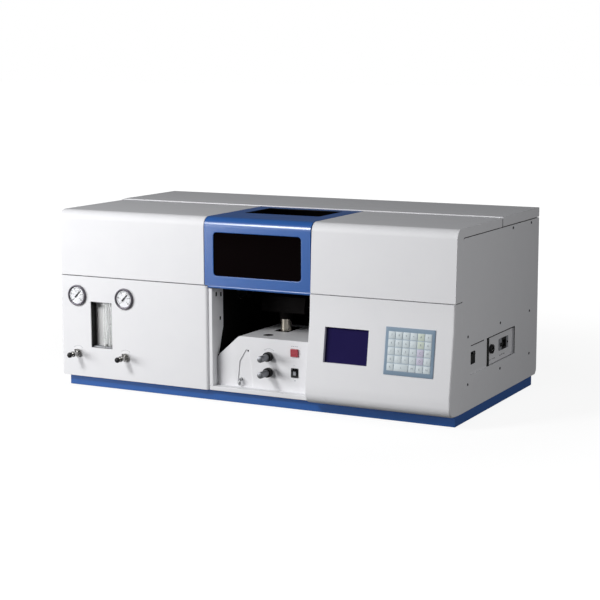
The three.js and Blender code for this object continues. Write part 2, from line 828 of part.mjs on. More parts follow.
function buildBay(cabinet) {
  const sillY = [bayFront, bayFront + sillDepth];
  const wall = [
    [bayWallLeft, bayFront],
    [bayInnerLeft, bayFront],
    [bayInnerLeft, frameY - gap],
    [bayInnerLeft - bayWallSheet, frameY - gap],
    [bayInnerLeft - bayWallSheet, bayFront + bayWallSheet],
    [bayWallLeft + bayWallSheet, bayFront + bayWallSheet],
    [bayWallLeft + bayWallSheet, bayFront + bayWallReturn],
    [bayWallLeft, bayFront + bayWallReturn],
  ];
  const setback = bayFront + bayHoodSetback;
  const wallZone = [bayWallLeft - over, bayInnerLeft + over];
  const leftWall = cut(
    extruded('z', wall, [deckTop + gap, bayWallTop]),
    block(wallZone, [bayFront - over, setback], [bayHoodClear, bayWallTop + over]),
    block(wallZone, [bayFront - over, bezelRear + 2 * gap], [deckTop, sillTop + gap]),
    bar('x', lensRadius + gap, wallZone, [burnerY, beamZ]));
  add(cabinet, 'bay_left_wall', leftWall, whitePaint);

  const rightWall = cut(
    block(
      [bayRightWall, bayRightWall + bayWallSheet],
      [bezelRear + gap, frameY - gap],
      [deckTop + gap, bayWallTop]),
    bar('x', lensRadius + gap, [bayRightWall - over, bayRightWall + bayWallSheet + over], [burnerY, beamZ]));
  add(cabinet, 'bay_right_wall', rightWall, whitePaint);

  const sill = cut(
    block([bayWallLeft, hoodRight], sillY, [cabinetBottom, sillTop]),
    block(
      [bayWallLeft + bayWallSheet, hoodRight - bayWallSheet],
      [bayFront + bayWallSheet, sillY[1] - bayWallSheet],
      [cabinetBottom - over, sillTop - bayWallSheet]));
  add(cabinet, 'bay_sill', sill, whitePaint);

  const lensOutline = (inner, end, way) => [
    [end, 0],
    [end, lensRadius],
    [inner + way * gap, lensRadius],
    [inner + way * gap, lensFlangeRadius],
    [inner + way * (gap + lensFlange), lensFlangeRadius],
    [inner + way * (gap + lensFlange), lensRadius],
    [inner + way * lensReach, lensRadius],
    [inner + way * lensReach, 0],
  ];
  const leftEnd = bayInnerLeft - lensTail;
  const leftTube = cut(
    turned('x', lensOutline(bayInnerLeft, leftEnd, 1), [burnerY, beamZ]),
    bar('x', lensBore, [leftEnd - over, bayInnerLeft + lensReach + over], [burnerY, beamZ]));
  add(cabinet, 'lens_tube_left', leftTube, blackCasting);
  const rightEnd = opticsLeft - gap;
  const rightTube = cut(
    turned('x', lensOutline(bayRightWall, rightEnd, -1), [burnerY, beamZ]),
    bar('x', lensBore, [bayRightWall - lensReach - over, rightEnd + over], [burnerY, beamZ]));
  add(cabinet, 'lens_tube_right', rightTube, blackCasting);
}

function buildGasUnit(cabinet) {
  const panelWall = bezelWall;
  const leftEdge = left;
  const gaugeXs = [gasCentre - gaugeSpacing / 2, gasCentre + gaugeSpacing / 2];
  const valveXs = [gasCentre - valveSpacing / 2, gasCentre + valveSpacing / 2];
  const wallZone = [gasPanelY - over, gasPanelY + panelWall + over];
  const flowLimits = [gasCentre - flowWidth / 2, gasCentre + flowWidth / 2];
  let panel = cut(
    block([leftEdge, gasPanelRight], [gasPanelY, bezelRear], [cabinetBottom, panelTop]),
    block(
      [leftEdge + panelWall, gasPanelRight - panelWall],
      [gasPanelY + panelWall, bezelRear + over],
      [cabinetBottom + panelWall, panelTop - panelWall]),
    block(flowLimits, wallZone, [flowZ - flowHeight / 2, flowZ + flowHeight / 2]));
  const gaugeHole = gaugeBodyRadius + gaugeHoleClear;
  const valveHole = valveBodyRadius + valveHoleClear;
  for (const x of gaugeXs) panel = cut(panel, bar('y', gaugeHole, wallZone, [x, gaugeZ]));
  for (const x of valveXs) panel = cut(panel, bar('y', valveHole, wallZone, [x, valveZ]));
  add(cabinet, 'gas_panel', panel, whitePaint);

  const gauge = turned('y', [
    [-gaugeFaceDepth, 0],
    [-gaugeFaceDepth, gaugeFaceRadius],
    [-gaugeProud, gaugeFaceRadius],
    [-gaugeProud, gaugeRimRadius - gaugeRimEdge],
    [-gaugeProud + gaugeRimEdge, gaugeRimRadius],
    [-gap, gaugeRimRadius],
    [-gap, gaugeBodyRadius],
    [gaugeDepth, gaugeBodyRadius],
    [gaugeDepth, 0],
  ]);
  const hubBack = -gaugeFaceDepth - gap;
  const hubFront = hubBack - needleHubHeight;
  const needle = join(
    bar('y', needleHubRadius, [hubFront, hubBack]),
    block(
      [-needleWidth / 2, needleWidth / 2],
      [hubFront + (needleHubHeight - needleThickness) / 2, hubBack - (needleHubHeight - needleThickness) / 2],
      [-needleTail, needleLength]));
  const spindleBore = valveSpindleRadius + running;
  const valve = turned('y', [
    [-valveSpindleEnd, 0],
    [-valveSpindleEnd, valveSpindleRadius],
    [-valveBodyLength, valveSpindleRadius],
    [-valveBodyLength, valveCollarRadius],
    [-valveBodyLength + valveCollarLength, valveCollarRadius],
    [-valveBodyLength + valveCollarLength, valveBodyRadius],
    [-valveNutLength, valveBodyRadius],
    [-valveNutLength, valveNutRadius],
    [-gap, valveNutRadius],
    [-gap, valveBodyRadius],
    [valveStub, valveBodyRadius],
    [valveStub, 0],
  ]);
  const valveKnob = cut(
    turned('y', [
      [-valveKnobEnd, 0],
      [-valveKnobEnd, valveKnobRadius - valveKnobEdge],
      [-valveKnobEnd + valveKnobEdge, valveKnobRadius],
      [-valveKnobStart, valveKnobRadius],
      [-valveKnobStart, 0],
    ]),
    bar('y', spindleBore, [-valveSpindleEnd - gap, -valveKnobStart + over]));
  ['left', 'right'].forEach((side, i) => {
    const gaugePlace = [gaugeXs[i], gasPanelY, gaugeZ];
    add(cabinet, `gauge_${side}`, gauge, dialWhite, gaugePlace);
    const pointer = add(cabinet, `gauge_needle_${side}`, needle, blackMoulding, gaugePlace);
    pointer.rotation.y = needleAngle;
    const valvePlace = [valveXs[i], gasPanelY, valveZ];
    add(cabinet, `needle_valve_${side}`, valve, brightSteel, valvePlace);
    add(cabinet, `valve_knob_${side}`, valveKnob, blackMoulding, valvePlace);
  });

  const flow = group(cabinet, [gasCentre, gasPanelY, flowZ]);
  const housingBack = flowDepth + flowBack;
  const housing = cut(
    block(
      [-flowWidth / 2 - flowWall, flowWidth / 2 + flowWall],
      [panelWall + gap, housingBack],
      [-flowHeight / 2 - flowWall, flowHeight / 2 + flowWall]),
    block([-flowWidth / 2, flowWidth / 2], [panelWall, flowDepth], [-flowHeight / 2, flowHeight / 2]));
  add(flow, 'flowmeter_housing', housing, blackMoulding);
  const tubeLimits = [-flowHeight / 2 + gap, flowHeight / 2 - gap];
  const tube = cut(
    bar('z', flowTubeRadius, tubeLimits),
    bar('z', flowTubeBore, [tubeLimits[0] - over, tubeLimits[1] + over]));
  const float = turned('z', [
    [0, 0],
    [0, floatTip],
    [floatTipLength, floatRadius],
    [floatHeight, floatRadius],
    [floatHeight, 0],
  ]);
  ['left', 'right'].forEach((side, i) => {
    const x = flowTubeShift + (i - 0.5) * flowTubeSpacing;
    add(flow, `flow_tube_${side}`, tube, clearGlass, [x, flowTubeY, 0]);
    add(flow, `flow_float_${side}`, float, blackMoulding, [x, flowTubeY, tubeLimits[0] + gap]);
  });
}

// Side view of the control panel, a wall thickness further in for its inside
function controlOutline(inset, back) {
  return [
    [back, panelTop - inset],
    [front - controlTopY + inset, panelTop - inset],
    [front - controlSlopeTopY + inset, controlSlopeTopZ],
    [front - controlBulge + inset, controlSlopeBottomZ],
    [front - controlBulge + inset, cabinetBottom + inset, controlBottomRadius - inset],
    [back, cabinetBottom + inset],
  ];
}

function buildControls(cabinet) {
  const slopeRun = controlBulge - controlSlopeTopY;
  const slopeAngle = Math.atan2(slopeRun, controlSlopeTopZ - controlSlopeBottomZ);
  const slopeY = (z) => front - controlSlopeTopY - (controlSlopeTopZ - z) * Math.tan(slopeAngle);
  const place = (x, z) => {
    const made = group(cabinet, [x, slopeY(z), z]);
    made.rotation.x = -slopeAngle;
    made.updateMatrix();
    return made;
  };
  const display = place(displayX, displayZ);
  const displayLimits = [
    [-displayWidth / 2, displayWidth / 2],
    [-displayHeight / 2, displayHeight / 2],
  ];
  const opening = block(displayLimits[0], [-displayRecess, displayDepth], displayLimits[1]);
  const panel = cut(
    extruded('x', controlOutline(0, bezelRear), [controlLeft, right]),
    extruded('x', controlOutline(bezelWall, bezelRear + over), [controlLeft + bezelWall, right - bezelWall]),
    opening.transform(display.matrix.elements));
  add(cabinet, 'control_panel', panel, whitePaint);

  const moduleFront = bezelWall + gap;
  const module = cut(
    block(
      [displayLimits[0][0] - displayRim, displayLimits[0][1] + displayRim],
      [moduleFront, moduleFront + displayDepth],
      [displayLimits[1][0] - displayRim, displayLimits[1][1] + displayRim]),
    block(displayLimits[0], [moduleFront - over, displayRecess], displayLimits[1]));
  add(display, 'display_module', module, indigoScreen);

  const keypad = place(keypadX, keypadZ);
  const filmFront = -gap - keypadThickness;
  let film = block(
    [-keypadWidth / 2, keypadWidth / 2], [filmFront, -gap], [-keypadHeight / 2, keypadHeight / 2]);
  for (let row = 0; row < keyRows; row += 1) {
    for (let column = 0; column < keyColumns; column += 1) {
      const lastRow = row === keyRows - 1;
      if (lastRow && column === wideKeyColumn + 1) continue;
      const wide = lastRow && column === wideKeyColumn;
      const x = (column - (keyColumns - 1) / 2) * keyPitchX;
      const z = ((keyRows - 1) / 2 - row) * keyPitchZ;
      const keyRight = x + keyWidth / 2 + (wide ? keyPitchX : 0);
      const key = block(
        [x - keyWidth / 2, keyRight],
        [filmFront - keyRise, filmFront + keySink],
        [z - keyHeight / 2, z + keyHeight / 2]);
      film = join(film, key);
    }
  }
  add(keypad, 'keypad', film, keypadFilm);
}

// Rocker of a switch, its face towards -Y, pivoted behind the face
function rocker(rockerWidth, rockerHeight) {
  return extruded('x', [
    [-rockerEnd, rockerHeight / 2],
    [-rockerCrest, 0],
    [-rockerEnd, -rockerHeight / 2],
    [rockerDepth, -rockerFoot],
    [rockerDepth, rockerFoot],
  ], [-rockerWidth / 2, rockerWidth / 2]);
}

// Places a rocker on a tilting pivot
function addRocker(parent, name, body, [x, y, z], facing) {
  const seat = group(parent, [x, y, z]);
  seat.rotation.z = facing;
  const pivot = group(seat, [0, rockerPivotDepth, 0]);
  pivot.rotation.x = rockerTilt;
  add(pivot, name, body, blackMoulding, [0, -rockerPivotDepth, 0]);
}

function buildServicePlate(cabinet) {
  const backFace = right - sheet - gap;
  const deepFace = right - serviceDeep;
  const lapBack = backFace - serviceSheet;
  const deepBack = deepFace - serviceSheet;
  const rearFace = serviceRear + gap;
  const sheetOutline = [
    [backFace, serviceFront - serviceLap],
    [backFace, serviceSplit],
    [deepFace, serviceSplit],
    [deepFace, rearFace],
    [backFace, rearFace],
    [backFace, rearFace + serviceLap + serviceSheet],
    [lapBack, rearFace + serviceLap + serviceSheet],
    [lapBack, rearFace + serviceSheet],
    [deepBack, rearFace + serviceSheet],
    [deepBack, serviceSplit - serviceSheet],
    [lapBack, serviceSplit - serviceSheet],
    [lapBack, serviceFront - serviceLap],
  ];
  const rockerHalf = mainsRockerWidth / 2 + rockerClear;
  const rockerRise = mainsRockerHeight / 2 + rockerClear;
  const inletHalf = mainsBodyWidth / 2 + gap;
  const inletRise = mainsBodyHeight / 2 + gap;
  const plate = cut(
    join(
      extruded('z', sheetOutline, [serviceBottom - serviceLap, serviceTop + serviceLap]),
      bar('x', socketRadius, [deepBack, deepFace + socketProud], [socketY, socketZ])),
    bar('x', socketBore, [deepFace + socketProud - socketDepth, right], [socketY, socketZ]),
    block(
      [lapBack - over, backFace + over],
      [mainsRockerY - rockerHalf, mainsRockerY + rockerHalf],
      [mainsRockerZ - rockerRise, mainsRockerZ + rockerRise]),
    block(
      [deepBack - over, deepFace + over],
      [mainsInletY - inletHalf, mainsInletY + inletHalf],
      [mainsInletZ - inletRise, mainsInletZ + inletRise]));
  add(cabinet, 'service_plate', plate, whitePaint);
  const mainsRocker = rocker(mainsRockerWidth, mainsRockerHeight);
  addRocker(cabinet, 'mains_rocker', mainsRocker, [backFace, mainsRockerY, mainsRockerZ], quarterTurn);

  const flangeFront = -gap - mainsFlangeThickness;
  const inlet = cut(
    join(
      block(
        [-mainsFlangeWidth / 2, mainsFlangeWidth / 2],
        [flangeFront, -gap],
        [-mainsFlangeHeight / 2, mainsFlangeHeight / 2]),
      block(
        [-mainsBodyWidth / 2, mainsBodyWidth / 2],
        [flangeFront, mainsBodyDepth],
        [-mainsBodyHeight / 2, mainsBodyHeight / 2])),
    block(
      [-mainsCavityWidth / 2, mainsCavityWidth / 2],
      [flangeFront - over, mainsCavityDepth],
      [-mainsCavityHeight / 2, mainsCavityHeight / 2]));
  const inletMesh = add(cabinet, 'mains_inlet', inlet, blackMoulding, [deepFace, mainsInletY, mainsInletZ]);
  inletMesh.rotation.z = quarterTurn;
}

function buildBurnerCover(cabinet) {
  const coverLeft = bayInnerLeft + burnerCoverSideGap;
  const coverRight = bayRightWall - burnerCoverSideGap;
  const coverOutlineAt = (inset, bottom) => [
    [coverLeft + inset, bottom],
    [coverLeft + inset, burnerCoverShoulderZ, burnerCoverRound],
    [coverLeft + burnerCoverShoulderX + inset / 2, burnerCoverTop - inset, burnerCoverRound],
    [coverRight - inset, burnerCoverTop - inset],
    [coverRight - inset, bottom],
  ];
  const coverRear = coverFaceY + burnerCoverLength;
  const faceZone = [coverFaceY - over, coverFaceY + burnerCoverWall + over];
  const niche = (grow) => [
    [nicheCentre - nicheWidth / 2 - grow, nicheBottomZ - grow, nicheRound],
    [nicheCentre - nicheShoulderWidth / 2 - grow, nicheShoulderZ, nicheRound],
    [nicheTopX, nicheTopZ + grow, nicheRound],
    [nicheCentre + nicheShoulderWidth / 2 + grow, nicheShoulderZ, nicheRound],
    [nicheCentre + nicheWidth / 2 + grow, nicheBottomZ - grow, nicheRound],
  ];
  const rockerHalf = flameRockerWidth / 2 + rockerClear;
  const rockerRise = flameRockerHeight / 2 + rockerClear;
  const innerZone = [coverFaceY + burnerCoverWall, coverRear + over];
  const nicheBack = coverFaceY + nicheDepth + burnerCoverWall;
  const nicheZone = [coverFaceY, nicheBack + over];
  const body = cut(
    join(
      cut(
        extruded('y', coverOutlineAt(0, deckTop + gap), [coverFaceY, coverRear]),
        extruded('y', coverOutlineAt(burnerCoverWall, deckTop - over), innerZone)),
      extruded('y', niche(burnerCoverWall), [coverFaceY + over, nicheBack])),
    extruded('y', niche(0), [coverFaceY - over, coverFaceY + nicheDepth]),
    bar('y', nicheHoleRadius, nicheZone, [nicheTopX, nicheTopZ - nicheHoleDrop]),
    bar('y', drainRadius + gap, nicheZone, [drainX, drainZ]),
    bar('y', knobShaftRadius + running, faceZone, [knobX, traverseKnobZ]),
    bar('y', knobShaftRadius + running, faceZone, [knobX, heightKnobZ]),
    block(
      [igniterX - igniterWidth / 2 - buttonClear, igniterX + igniterWidth / 2 + buttonClear],
      faceZone,
      [igniterZ - igniterHeight / 2 - buttonClear, igniterZ + igniterHeight / 2 + buttonClear]),
    block(
      [flameRockerX - rockerHalf, flameRockerX + rockerHalf],
      faceZone,
      [flameRockerZ - rockerRise, flameRockerZ + rockerRise]),
    bar('z', sightHoleRadius, [burnerCoverTop - burnerCoverWall - over, burnerCoverTop + over],
      [sightHoleX, sightHoleY]),
    block(
      [neckOpeningX - neckOpeningWidth / 2, neckOpeningX + neckOpeningWidth / 2],
      [neckOpeningY - neckOpeningLength / 2, neckOpeningY + neckOpeningLength / 2],
      [burnerCoverTop - burnerCoverWall - over, burnerCoverTop + over]));
  add(cabinet, 'burner_cover', body, whiteMoulding);

  const igniter = join(
    block(
      [-igniterWidth / 2, igniterWidth / 2],
      [-igniterProud, igniterDepth],
      [-igniterHeight / 2, igniterHeight / 2]),
    bar('y', igniterStemRadius, [igniterDepth - over, igniterDepth + igniterStemLength]));
  add(cabinet, 'igniter_button', igniter, redMoulding, [igniterX, coverFaceY, igniterZ]);
  const flameRocker = rocker(flameRockerWidth, flameRockerHeight);
  addRocker(cabinet, 'flame_rocker', flameRocker, [flameRockerX, coverFaceY, flameRockerZ], 0);

  const knob = turned('y', [
    [-knobEnd, 0],
    [-knobEnd, knobRadius - knobEdge],
    [-knobEnd + knobEdge, knobRadius],
    [-knobCollarEnd, knobRadius],
    [-knobCollarEnd, knobCollarRadius],
    [-knobCollarStart, knobCollarRadius],
    [-knobCollarStart, knobShaftRadius],
    [knobShaftEnd, knobShaftRadius],
    [knobShaftEnd, 0],
  ]);
  add(cabinet, 'traverse_knob', knob, plainAluminium, [knobX, coverFaceY, traverseKnobZ]);
  add(cabinet, 'height_knob', knob, plainAluminium, [knobX, coverFaceY, heightKnobZ]);

  const drainPath = new THREE.CatmullRomCurve3([
    new THREE.Vector3(0, nicheDepth + burnerCoverWall + drainTail, 0),
    new THREE.Vector3(0, nicheDepth, 0),
    new THREE.Vector3(0, nicheDepth - drainReach / 2, 0),
    new THREE.Vector3(0, -drainReach / 2 + nicheDepth / 2 - drainReach / 2, -drainReach / 2),
    new THREE.Vector3(0, nicheDepth / 2 - drainReach, -drainDrop),
  ]);
  const ring = new THREE.Shape().absarc(0, 0, drainRadius, 0, 2 * Math.PI);
  const hook = new THREE.ExtrudeGeometry(ring, { extrudePath: drainPath, steps: 14, curveSegments: 5 });
  add(cabinet, 'drain_spout', solid(hook), plainAluminium, [drainX, coverFaceY, drainZ]);
}

function buildBurner(cabinet) {
  const burner = group(cabinet, [burnerX, burnerY, 0]);
  const baseBottom = deckTop + gap;
  const baseTop = baseBottom + carriageThickness;
  const knobLocal = knobX - burnerX;
  const postXs = [-postSpacing / 2, postSpacing / 2];
  const plateY = [-carriagePlateY - carriagePlateThickness / 2, -carriagePlateY + carriagePlateThickness / 2];
  const plateZone = [plateY[0] - over, plateY[1] + over];
  const carriage = cut(
    join(
      block([-carriageHalfWidth, carriageHalfWidth], [-carriageFront, carriageRear], [baseBottom, baseTop]),
      block(
        [knobLocal - carriagePlateWidth / 2, knobLocal + carriagePlateWidth / 2],
        plateY,
        [baseTop - over, carriagePlateTop]),
      ...postXs.map((x) => bar('z', postRadius, [baseTop - over, postTop], [x, postY]))),
    bar('y', knobShaftRadius + running, plateZone, [knobLocal, traverseKnobZ]),
    bar('y', knobShaftRadius + running, plateZone, [knobLocal, heightKnobZ]));
  add(burner, 'burner_carriage', carriage, plainAluminium);

  const boreEnd = chamberHalfLength - chamberEnd;
  const bracketZ = [chamberZ - bracketHeight / 2, chamberZ + bracketHeight / 2];
  const boreZone = [bracketZ[0] - over, bracketZ[1] + over];
  const chamber = cut(
    join(
      bar('x', chamberRadius, [-chamberHalfLength, chamberHalfLength], [0, chamberZ]),
      bar('z', chamberBossRadius, [chamberZ, chamberBossTop]),
      block([-chamberHalfLength, chamberHalfLength], [bracketFront, bracketRear], bracketZ),
      block([-bracketHalfWidth, bracketHalfWidth], [chamberRadius, bracketRear], bracketZ)),
    bar('x', chamberBore, [-chamberHalfLength - over, boreEnd], [0, chamberZ]),
    bar('z', neckBore, [chamberZ, chamberBossTop + over]),
    ...postXs.map((x) => bar('z', postRadius + running, boreZone, [x, postY])));
  add(burner, 'spray_chamber', chamber, blackMoulding);

  const neckBottom = chamberBossTop + gap;
  const neck = cut(
    turned('z', [
      [neckBottom, 0],
      [neckBottom, neckFlangeRadius],
      [neckBottom + neckFlangeHeight, neckFlangeRadius],
      [neckBottom + neckFlangeHeight, neckRadius],
      [neckShoulderZ, neckRadius],
      [neckShoulderZ, neckStubRadius],
      [neckTop, neckStubRadius],
      [neckTop, 0],
    ]),
    bar('z', neckBore, [neckBottom - over, neckTop + over]));
  add(burner, 'burner_neck', neck, brightSteel);

  const headBottom = neckShoulderZ + gap;
  const head = cut(
    join(
      bar('z', headSocketRadius, [headBottom, headSocketTop]),
      extruded('x', [
        [-headBaseHalf, headBaseZ],
        [headBaseHalf, headBaseZ],
        [headBaseHalf, headWaistZ],
        [headTopHalf, headTop],
        [-headTopHalf, headTop],
        [-headBaseHalf, headWaistZ],
      ], [-headLength / 2, headLength / 2])),
    bar('z', neckStubRadius + running, [headBottom - over, headSocketBoreTop]),
    block(
      [-headSlotLength / 2, headSlotLength / 2],
      [-headSlotWidth / 2, headSlotWidth / 2],
      [headTop - headSlotDepth, headTop + over]));
  add(burner, 'burner_head', head, darkTitanium);

  const flangeStart = -chamberHalfLength - gap;
  const bodyStart = flangeStart - nebulizerFlangeLength;
  const tipStart = bodyStart - nebulizerBodyLength;
  const nebulizer = turned('x', [
    [tipStart - nebulizerTipLength, 0],
    [tipStart - nebulizerTipLength, nebulizerTipRadius],
    [tipStart, nebulizerTipRadius],
    [tipStart, nebulizerBodyRadius],
    [bodyStart, nebulizerBodyRadius],
    [bodyStart, nebulizerFlangeRadius],
    [flangeStart, nebulizerFlangeRadius],
    [flangeStart, chamberBore - plugClear],
    [flangeStart + plugLength, chamberBore - plugClear],
    [flangeStart + plugLength, 0],
  ], [0, chamberZ]);
  add(burner, 'nebulizer', nebulizer, whiteMoulding);
}

function buildLamps(cabinet) {
  const turret = group(cabinet, [turretX, burnerY, beamZ + turretArm]);
  const pitch = 2 * Math.PI / turretPlaces;
  const angles = Array.from({ length: turretPlaces }, (_, i) => -quarterTurn + i * pitch);
  const places = angles.map((angle) => [turretArm * Math.cos(angle), turretArm * Math.sin(angle)]);
  const disc = cut(
    join(
      bar('x', turretRadius, [0, turretThickness]),
      bar('x', turretHubRadius, [-turretHubLength, over]),
      bar('x', turretShaftRadius, [-turretHubLength - turretShaftLength, over])),
    ...places.map((place) => bar('x', lampBaseRadius + gap, [-over, turretThickness + over], place)));
  add(turret, 'lamp_turret', disc, plainAluminium);
  const tubeStart = turretThickness + gap;
  const lamp = turned('x', [
    [-lampBaseTail, 0],
    [-lampBaseTail, lampBaseRadius],
    [tubeStart, lampBaseRadius],
    [tubeStart, lampRadius],
    [lampTubeEnd - lampShoulder, lampRadius],
    [lampTubeEnd, lampNeckRadius],
    [lampEnd, lampNeckRadius],
    [lampEnd, 0],
  ]);
  [0, 2].forEach((slot, i) => {
    add(turret, `hollow_cathode_lamp_${i + 1}`, lamp, clearGlass, [0, ...places[slot]]);
  });

  const bearingEnd = -turretHubLength - gap;
  const plateX = [bearingEnd - bearingLength - bracketPlate, bearingEnd - bearingLength];
  const floor = deckTop + gap - (beamZ + turretArm);
  const bracket = cut(
    join(
      block(plateX, [-bracketPlateHalf, bracketPlateHalf], [floor, bracketAboveAxis]),
      block(
        [plateX[1] - bracketFootLength, plateX[1]],
        [-bracketFootHalf, bracketFootHalf],
        [floor, floor + bracketFootThickness]),
      bar('x', bearingRadius, [plateX[0], bearingEnd])),
    bar('x', turretShaftRadius + running, [plateX[0] - over, bearingEnd + over]));
  add(turret, 'turret_bracket', bracket, blackCasting);
}

function buildOptics(cabinet) {
  const spanX = [opticsLeft, opticsRight];
  const spanY = [opticsFront, opticsRear];
  const legXs = [opticsLeft + opticsLegInset, opticsRight - opticsLegInset];
  const legYs = [opticsFront + opticsLegInset, opticsRear - opticsLegInset];
  const legZone = [deckTop + gap, opticsBottom + over];
  const legs = legXs.flatMap((x) => legYs.map((y) => bar('z', opticsLegRadius, legZone, [x, y])));
  const floorTop = opticsBottom + opticsFloor;
  const housing = cut(
    join(
      block(spanX, spanY, [opticsBottom, opticsTop]),
      bar('x', detectorRadius, [opticsLeft - detectorLength, opticsLeft + over], [detectorY, beamZ]),
      ...legs),
    block(
      [opticsLeft + opticsWall, opticsRight - opticsWall],
      [opticsFront + opticsWall, opticsRear - opticsWall],
      [floorTop, opticsTop + over]),
    bar('x', slitRadius, [opticsLeft - over, opticsLeft + opticsWall + over], [burnerY, beamZ]),
    bar('z', gratingShaftRadius + running, [opticsBottom - over, floorTop + over], [gratingX, gratingY]));
  add(cabinet, 'monochromator_housing', housing, blackCasting);

  const tableBottom = floorTop + gap;
  const tableTop = tableBottom + gratingTableThickness;
  const table = join(
    bar('z', gratingShaftRadius, [opticsBottom - gratingShaftDrop, tableBottom + over]),
    bar('z', gratingTableRadius, [tableBottom, tableTop]),
    block(
      [-gratingWidth / 2, gratingWidth / 2],
      [-gratingThickness / 2, gratingThickness / 2],
      [tableTop - over, tableTop + gratingHeight]));
  add(cabinet, 'grating_table', table, plainAluminium, [gratingX, gratingY, 0]);
}

function buildElectronics(cabinet) {
  const floor = deckTop + gap;
  const boardFace = boardY + boardThickness;
  let board = block([boardLeft, boardRight], [boardY, boardFace], [floor, boardTop]);
  for (let chip = 0; chip < chipCount; chip += 1) {
    const x = (boardLeft + boardRight) / 2 + (chip - (chipCount - 1) / 2) * chipPitch;
    board = join(board, block(
      [x - chipSize / 2, x + chipSize / 2],
      [boardFace - boardThickness / 2, boardFace + chipHeight],
      [chipZ - chipSize / 2, chipZ + chipSize / 2]));
  }
  add(cabinet, 'main_board', board, greenBoard);
  const transformer = join(
    block(
      [-transformerCoreWidth / 2, transformerCoreWidth / 2],
      [-transformerCoreDepth / 2, transformerCoreDepth / 2],
      [0, transformerHeight]),
    block(
      [-transformerCoilWidth / 2, transformerCoilWidth / 2],
      [-transformerCoilDepth / 2, transformerCoilDepth / 2],
      [transformerCoilInset, transformerHeight - transformerCoilInset]));
  add(cabinet, 'transformer', transformer, blackCasting, [transformerX, transformerY, floor]);
}

const spectrometer = new THREE.Group();
const cabinet = group(spectrometer);
buildBase(cabinet);
buildCase(cabinet);
buildCovers(cabinet);
buildBay(cabinet);
buildGasUnit(cabinet);
buildControls(cabinet);
buildServicePlate(cabinet);
buildBurnerCover(cabinet);
buildBurner(cabinet);
buildLamps(cabinet);
buildOptics(cabinet);
buildElectronics(cabinet);

// The origin is the middle of the whole instrument's box, on the floor
spectrometer.updateMatrixWorld(true);
const middle = new THREE.Box3().setFromObject(spectrometer, true).getCenter(new THREE.Vector3());
cabinet.position.set(-middle.x, -middle.y, 0);

export default spectrometer;
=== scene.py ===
"""Finishes, fine detail, lights and camera of the flame absorption spectrometer."""
import json
import math

import bmesh
import bpy
from bpy.props import (
    FloatProperty, FloatVectorProperty, IntProperty, PointerProperty, StringProperty)
from mathutils import Matrix, Vector


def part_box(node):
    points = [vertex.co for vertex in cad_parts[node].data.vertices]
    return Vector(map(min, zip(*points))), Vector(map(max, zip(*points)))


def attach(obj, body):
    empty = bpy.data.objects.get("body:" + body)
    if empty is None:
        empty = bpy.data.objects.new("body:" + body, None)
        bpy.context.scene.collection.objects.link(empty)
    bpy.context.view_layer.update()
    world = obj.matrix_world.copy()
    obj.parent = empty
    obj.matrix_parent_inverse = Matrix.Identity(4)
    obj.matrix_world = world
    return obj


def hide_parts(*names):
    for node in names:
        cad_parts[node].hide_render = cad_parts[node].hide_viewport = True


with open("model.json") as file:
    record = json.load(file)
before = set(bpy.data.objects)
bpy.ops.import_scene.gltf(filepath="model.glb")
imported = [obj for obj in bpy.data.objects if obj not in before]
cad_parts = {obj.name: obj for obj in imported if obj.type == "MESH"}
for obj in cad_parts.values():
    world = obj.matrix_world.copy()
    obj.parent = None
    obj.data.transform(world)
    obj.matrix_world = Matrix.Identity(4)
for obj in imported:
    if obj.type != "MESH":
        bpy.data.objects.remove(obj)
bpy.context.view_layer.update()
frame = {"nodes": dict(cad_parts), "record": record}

bl_info = {
    "name": "Flame Absorption Spectrometer",
    "version": (1, 0, 0),
    "blender": (4, 5, 0),
    "location": "3D View > Sidebar > Spectrometer",
    "description": "Finishes and fine detail for a bench flame absorption spectrometer",
    "category": "Object",
}

MM = 0.001
OUTWARD, TO_REAR = Vector((0, -1, 0)), Vector((0, 1, 0))
RIGHT, UP = Vector((1, 0, 0)), Vector((0, 0, 1))

# The cabinet was drawn round its own middle: its sides and its rear sheet lie this far from it.
HALF_WIDTH = 510 * MM
HALF_DEPTH = 260 * MM
MIDDLE_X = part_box("left_side_panel")[0].x + HALF_WIDTH
MIDDLE_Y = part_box("lamp_cover")[0].y + HALF_DEPTH
REAR_MM = 260
# Behind this place along the cabinet, the hinged covers have their notches.
NOTCHES_MM = 5

# Places closer than this count as one when edges are picked.
TOUCH = 0.1 * MM
HAIR = 0.01 * MM
# Print lies this far in front of the face that carries it.
PRINT_LIFT_MM = 0.05
# The control panel leans back by 21.3 mm over a height of 141 mm.
PANEL_LEAN = math.atan2(21.3, 141)
PANEL_UP = Vector((0, math.sin(PANEL_LEAN), math.cos(PANEL_LEAN)))
PANEL_OUT = Vector((0, -math.cos(PANEL_LEAN), math.sin(PANEL_LEAN)))
# Rockers lean at rest, so a rocker's pivot lies this far above the middle of its box.
ROCKER_LEAN = 0.81 * MM


def cabinet(x, y, z):
    """A point of the cabinet in the frame, from millimetres round the cabinet's middle."""
    return Vector((x * MM + MIDDLE_X, y * MM + MIDDLE_Y, z * MM))


def upright(turn):
    """Unit vector across the cabinet's front, turned up from its right."""
    return Vector((math.cos(turn), 0, math.sin(turn)))


def box_and_middle(node):
    """Low corner, high corner and middle of a node's box."""
    low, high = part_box(node)
    return low, high, (low + high) / 2


def body_of_node(node):
    """The CAD body that a node belongs to."""
    bodies = frame["record"]["behaviour"]["bodies"]
    return next(body for body, nodes in bodies.items() if node in nodes)


# ---- Materials ----

def linear(hex_colour):
    """sRGB hex to the linear colour that the shader takes."""
    shares = [int(hex_colour[i:i + 2], 16) / 255 for i in (1, 3, 5)]
    return (*[s / 12.92 if s <= 0.04045 else ((s + 0.055) / 1.055) ** 2.4 for s in shares], 1)


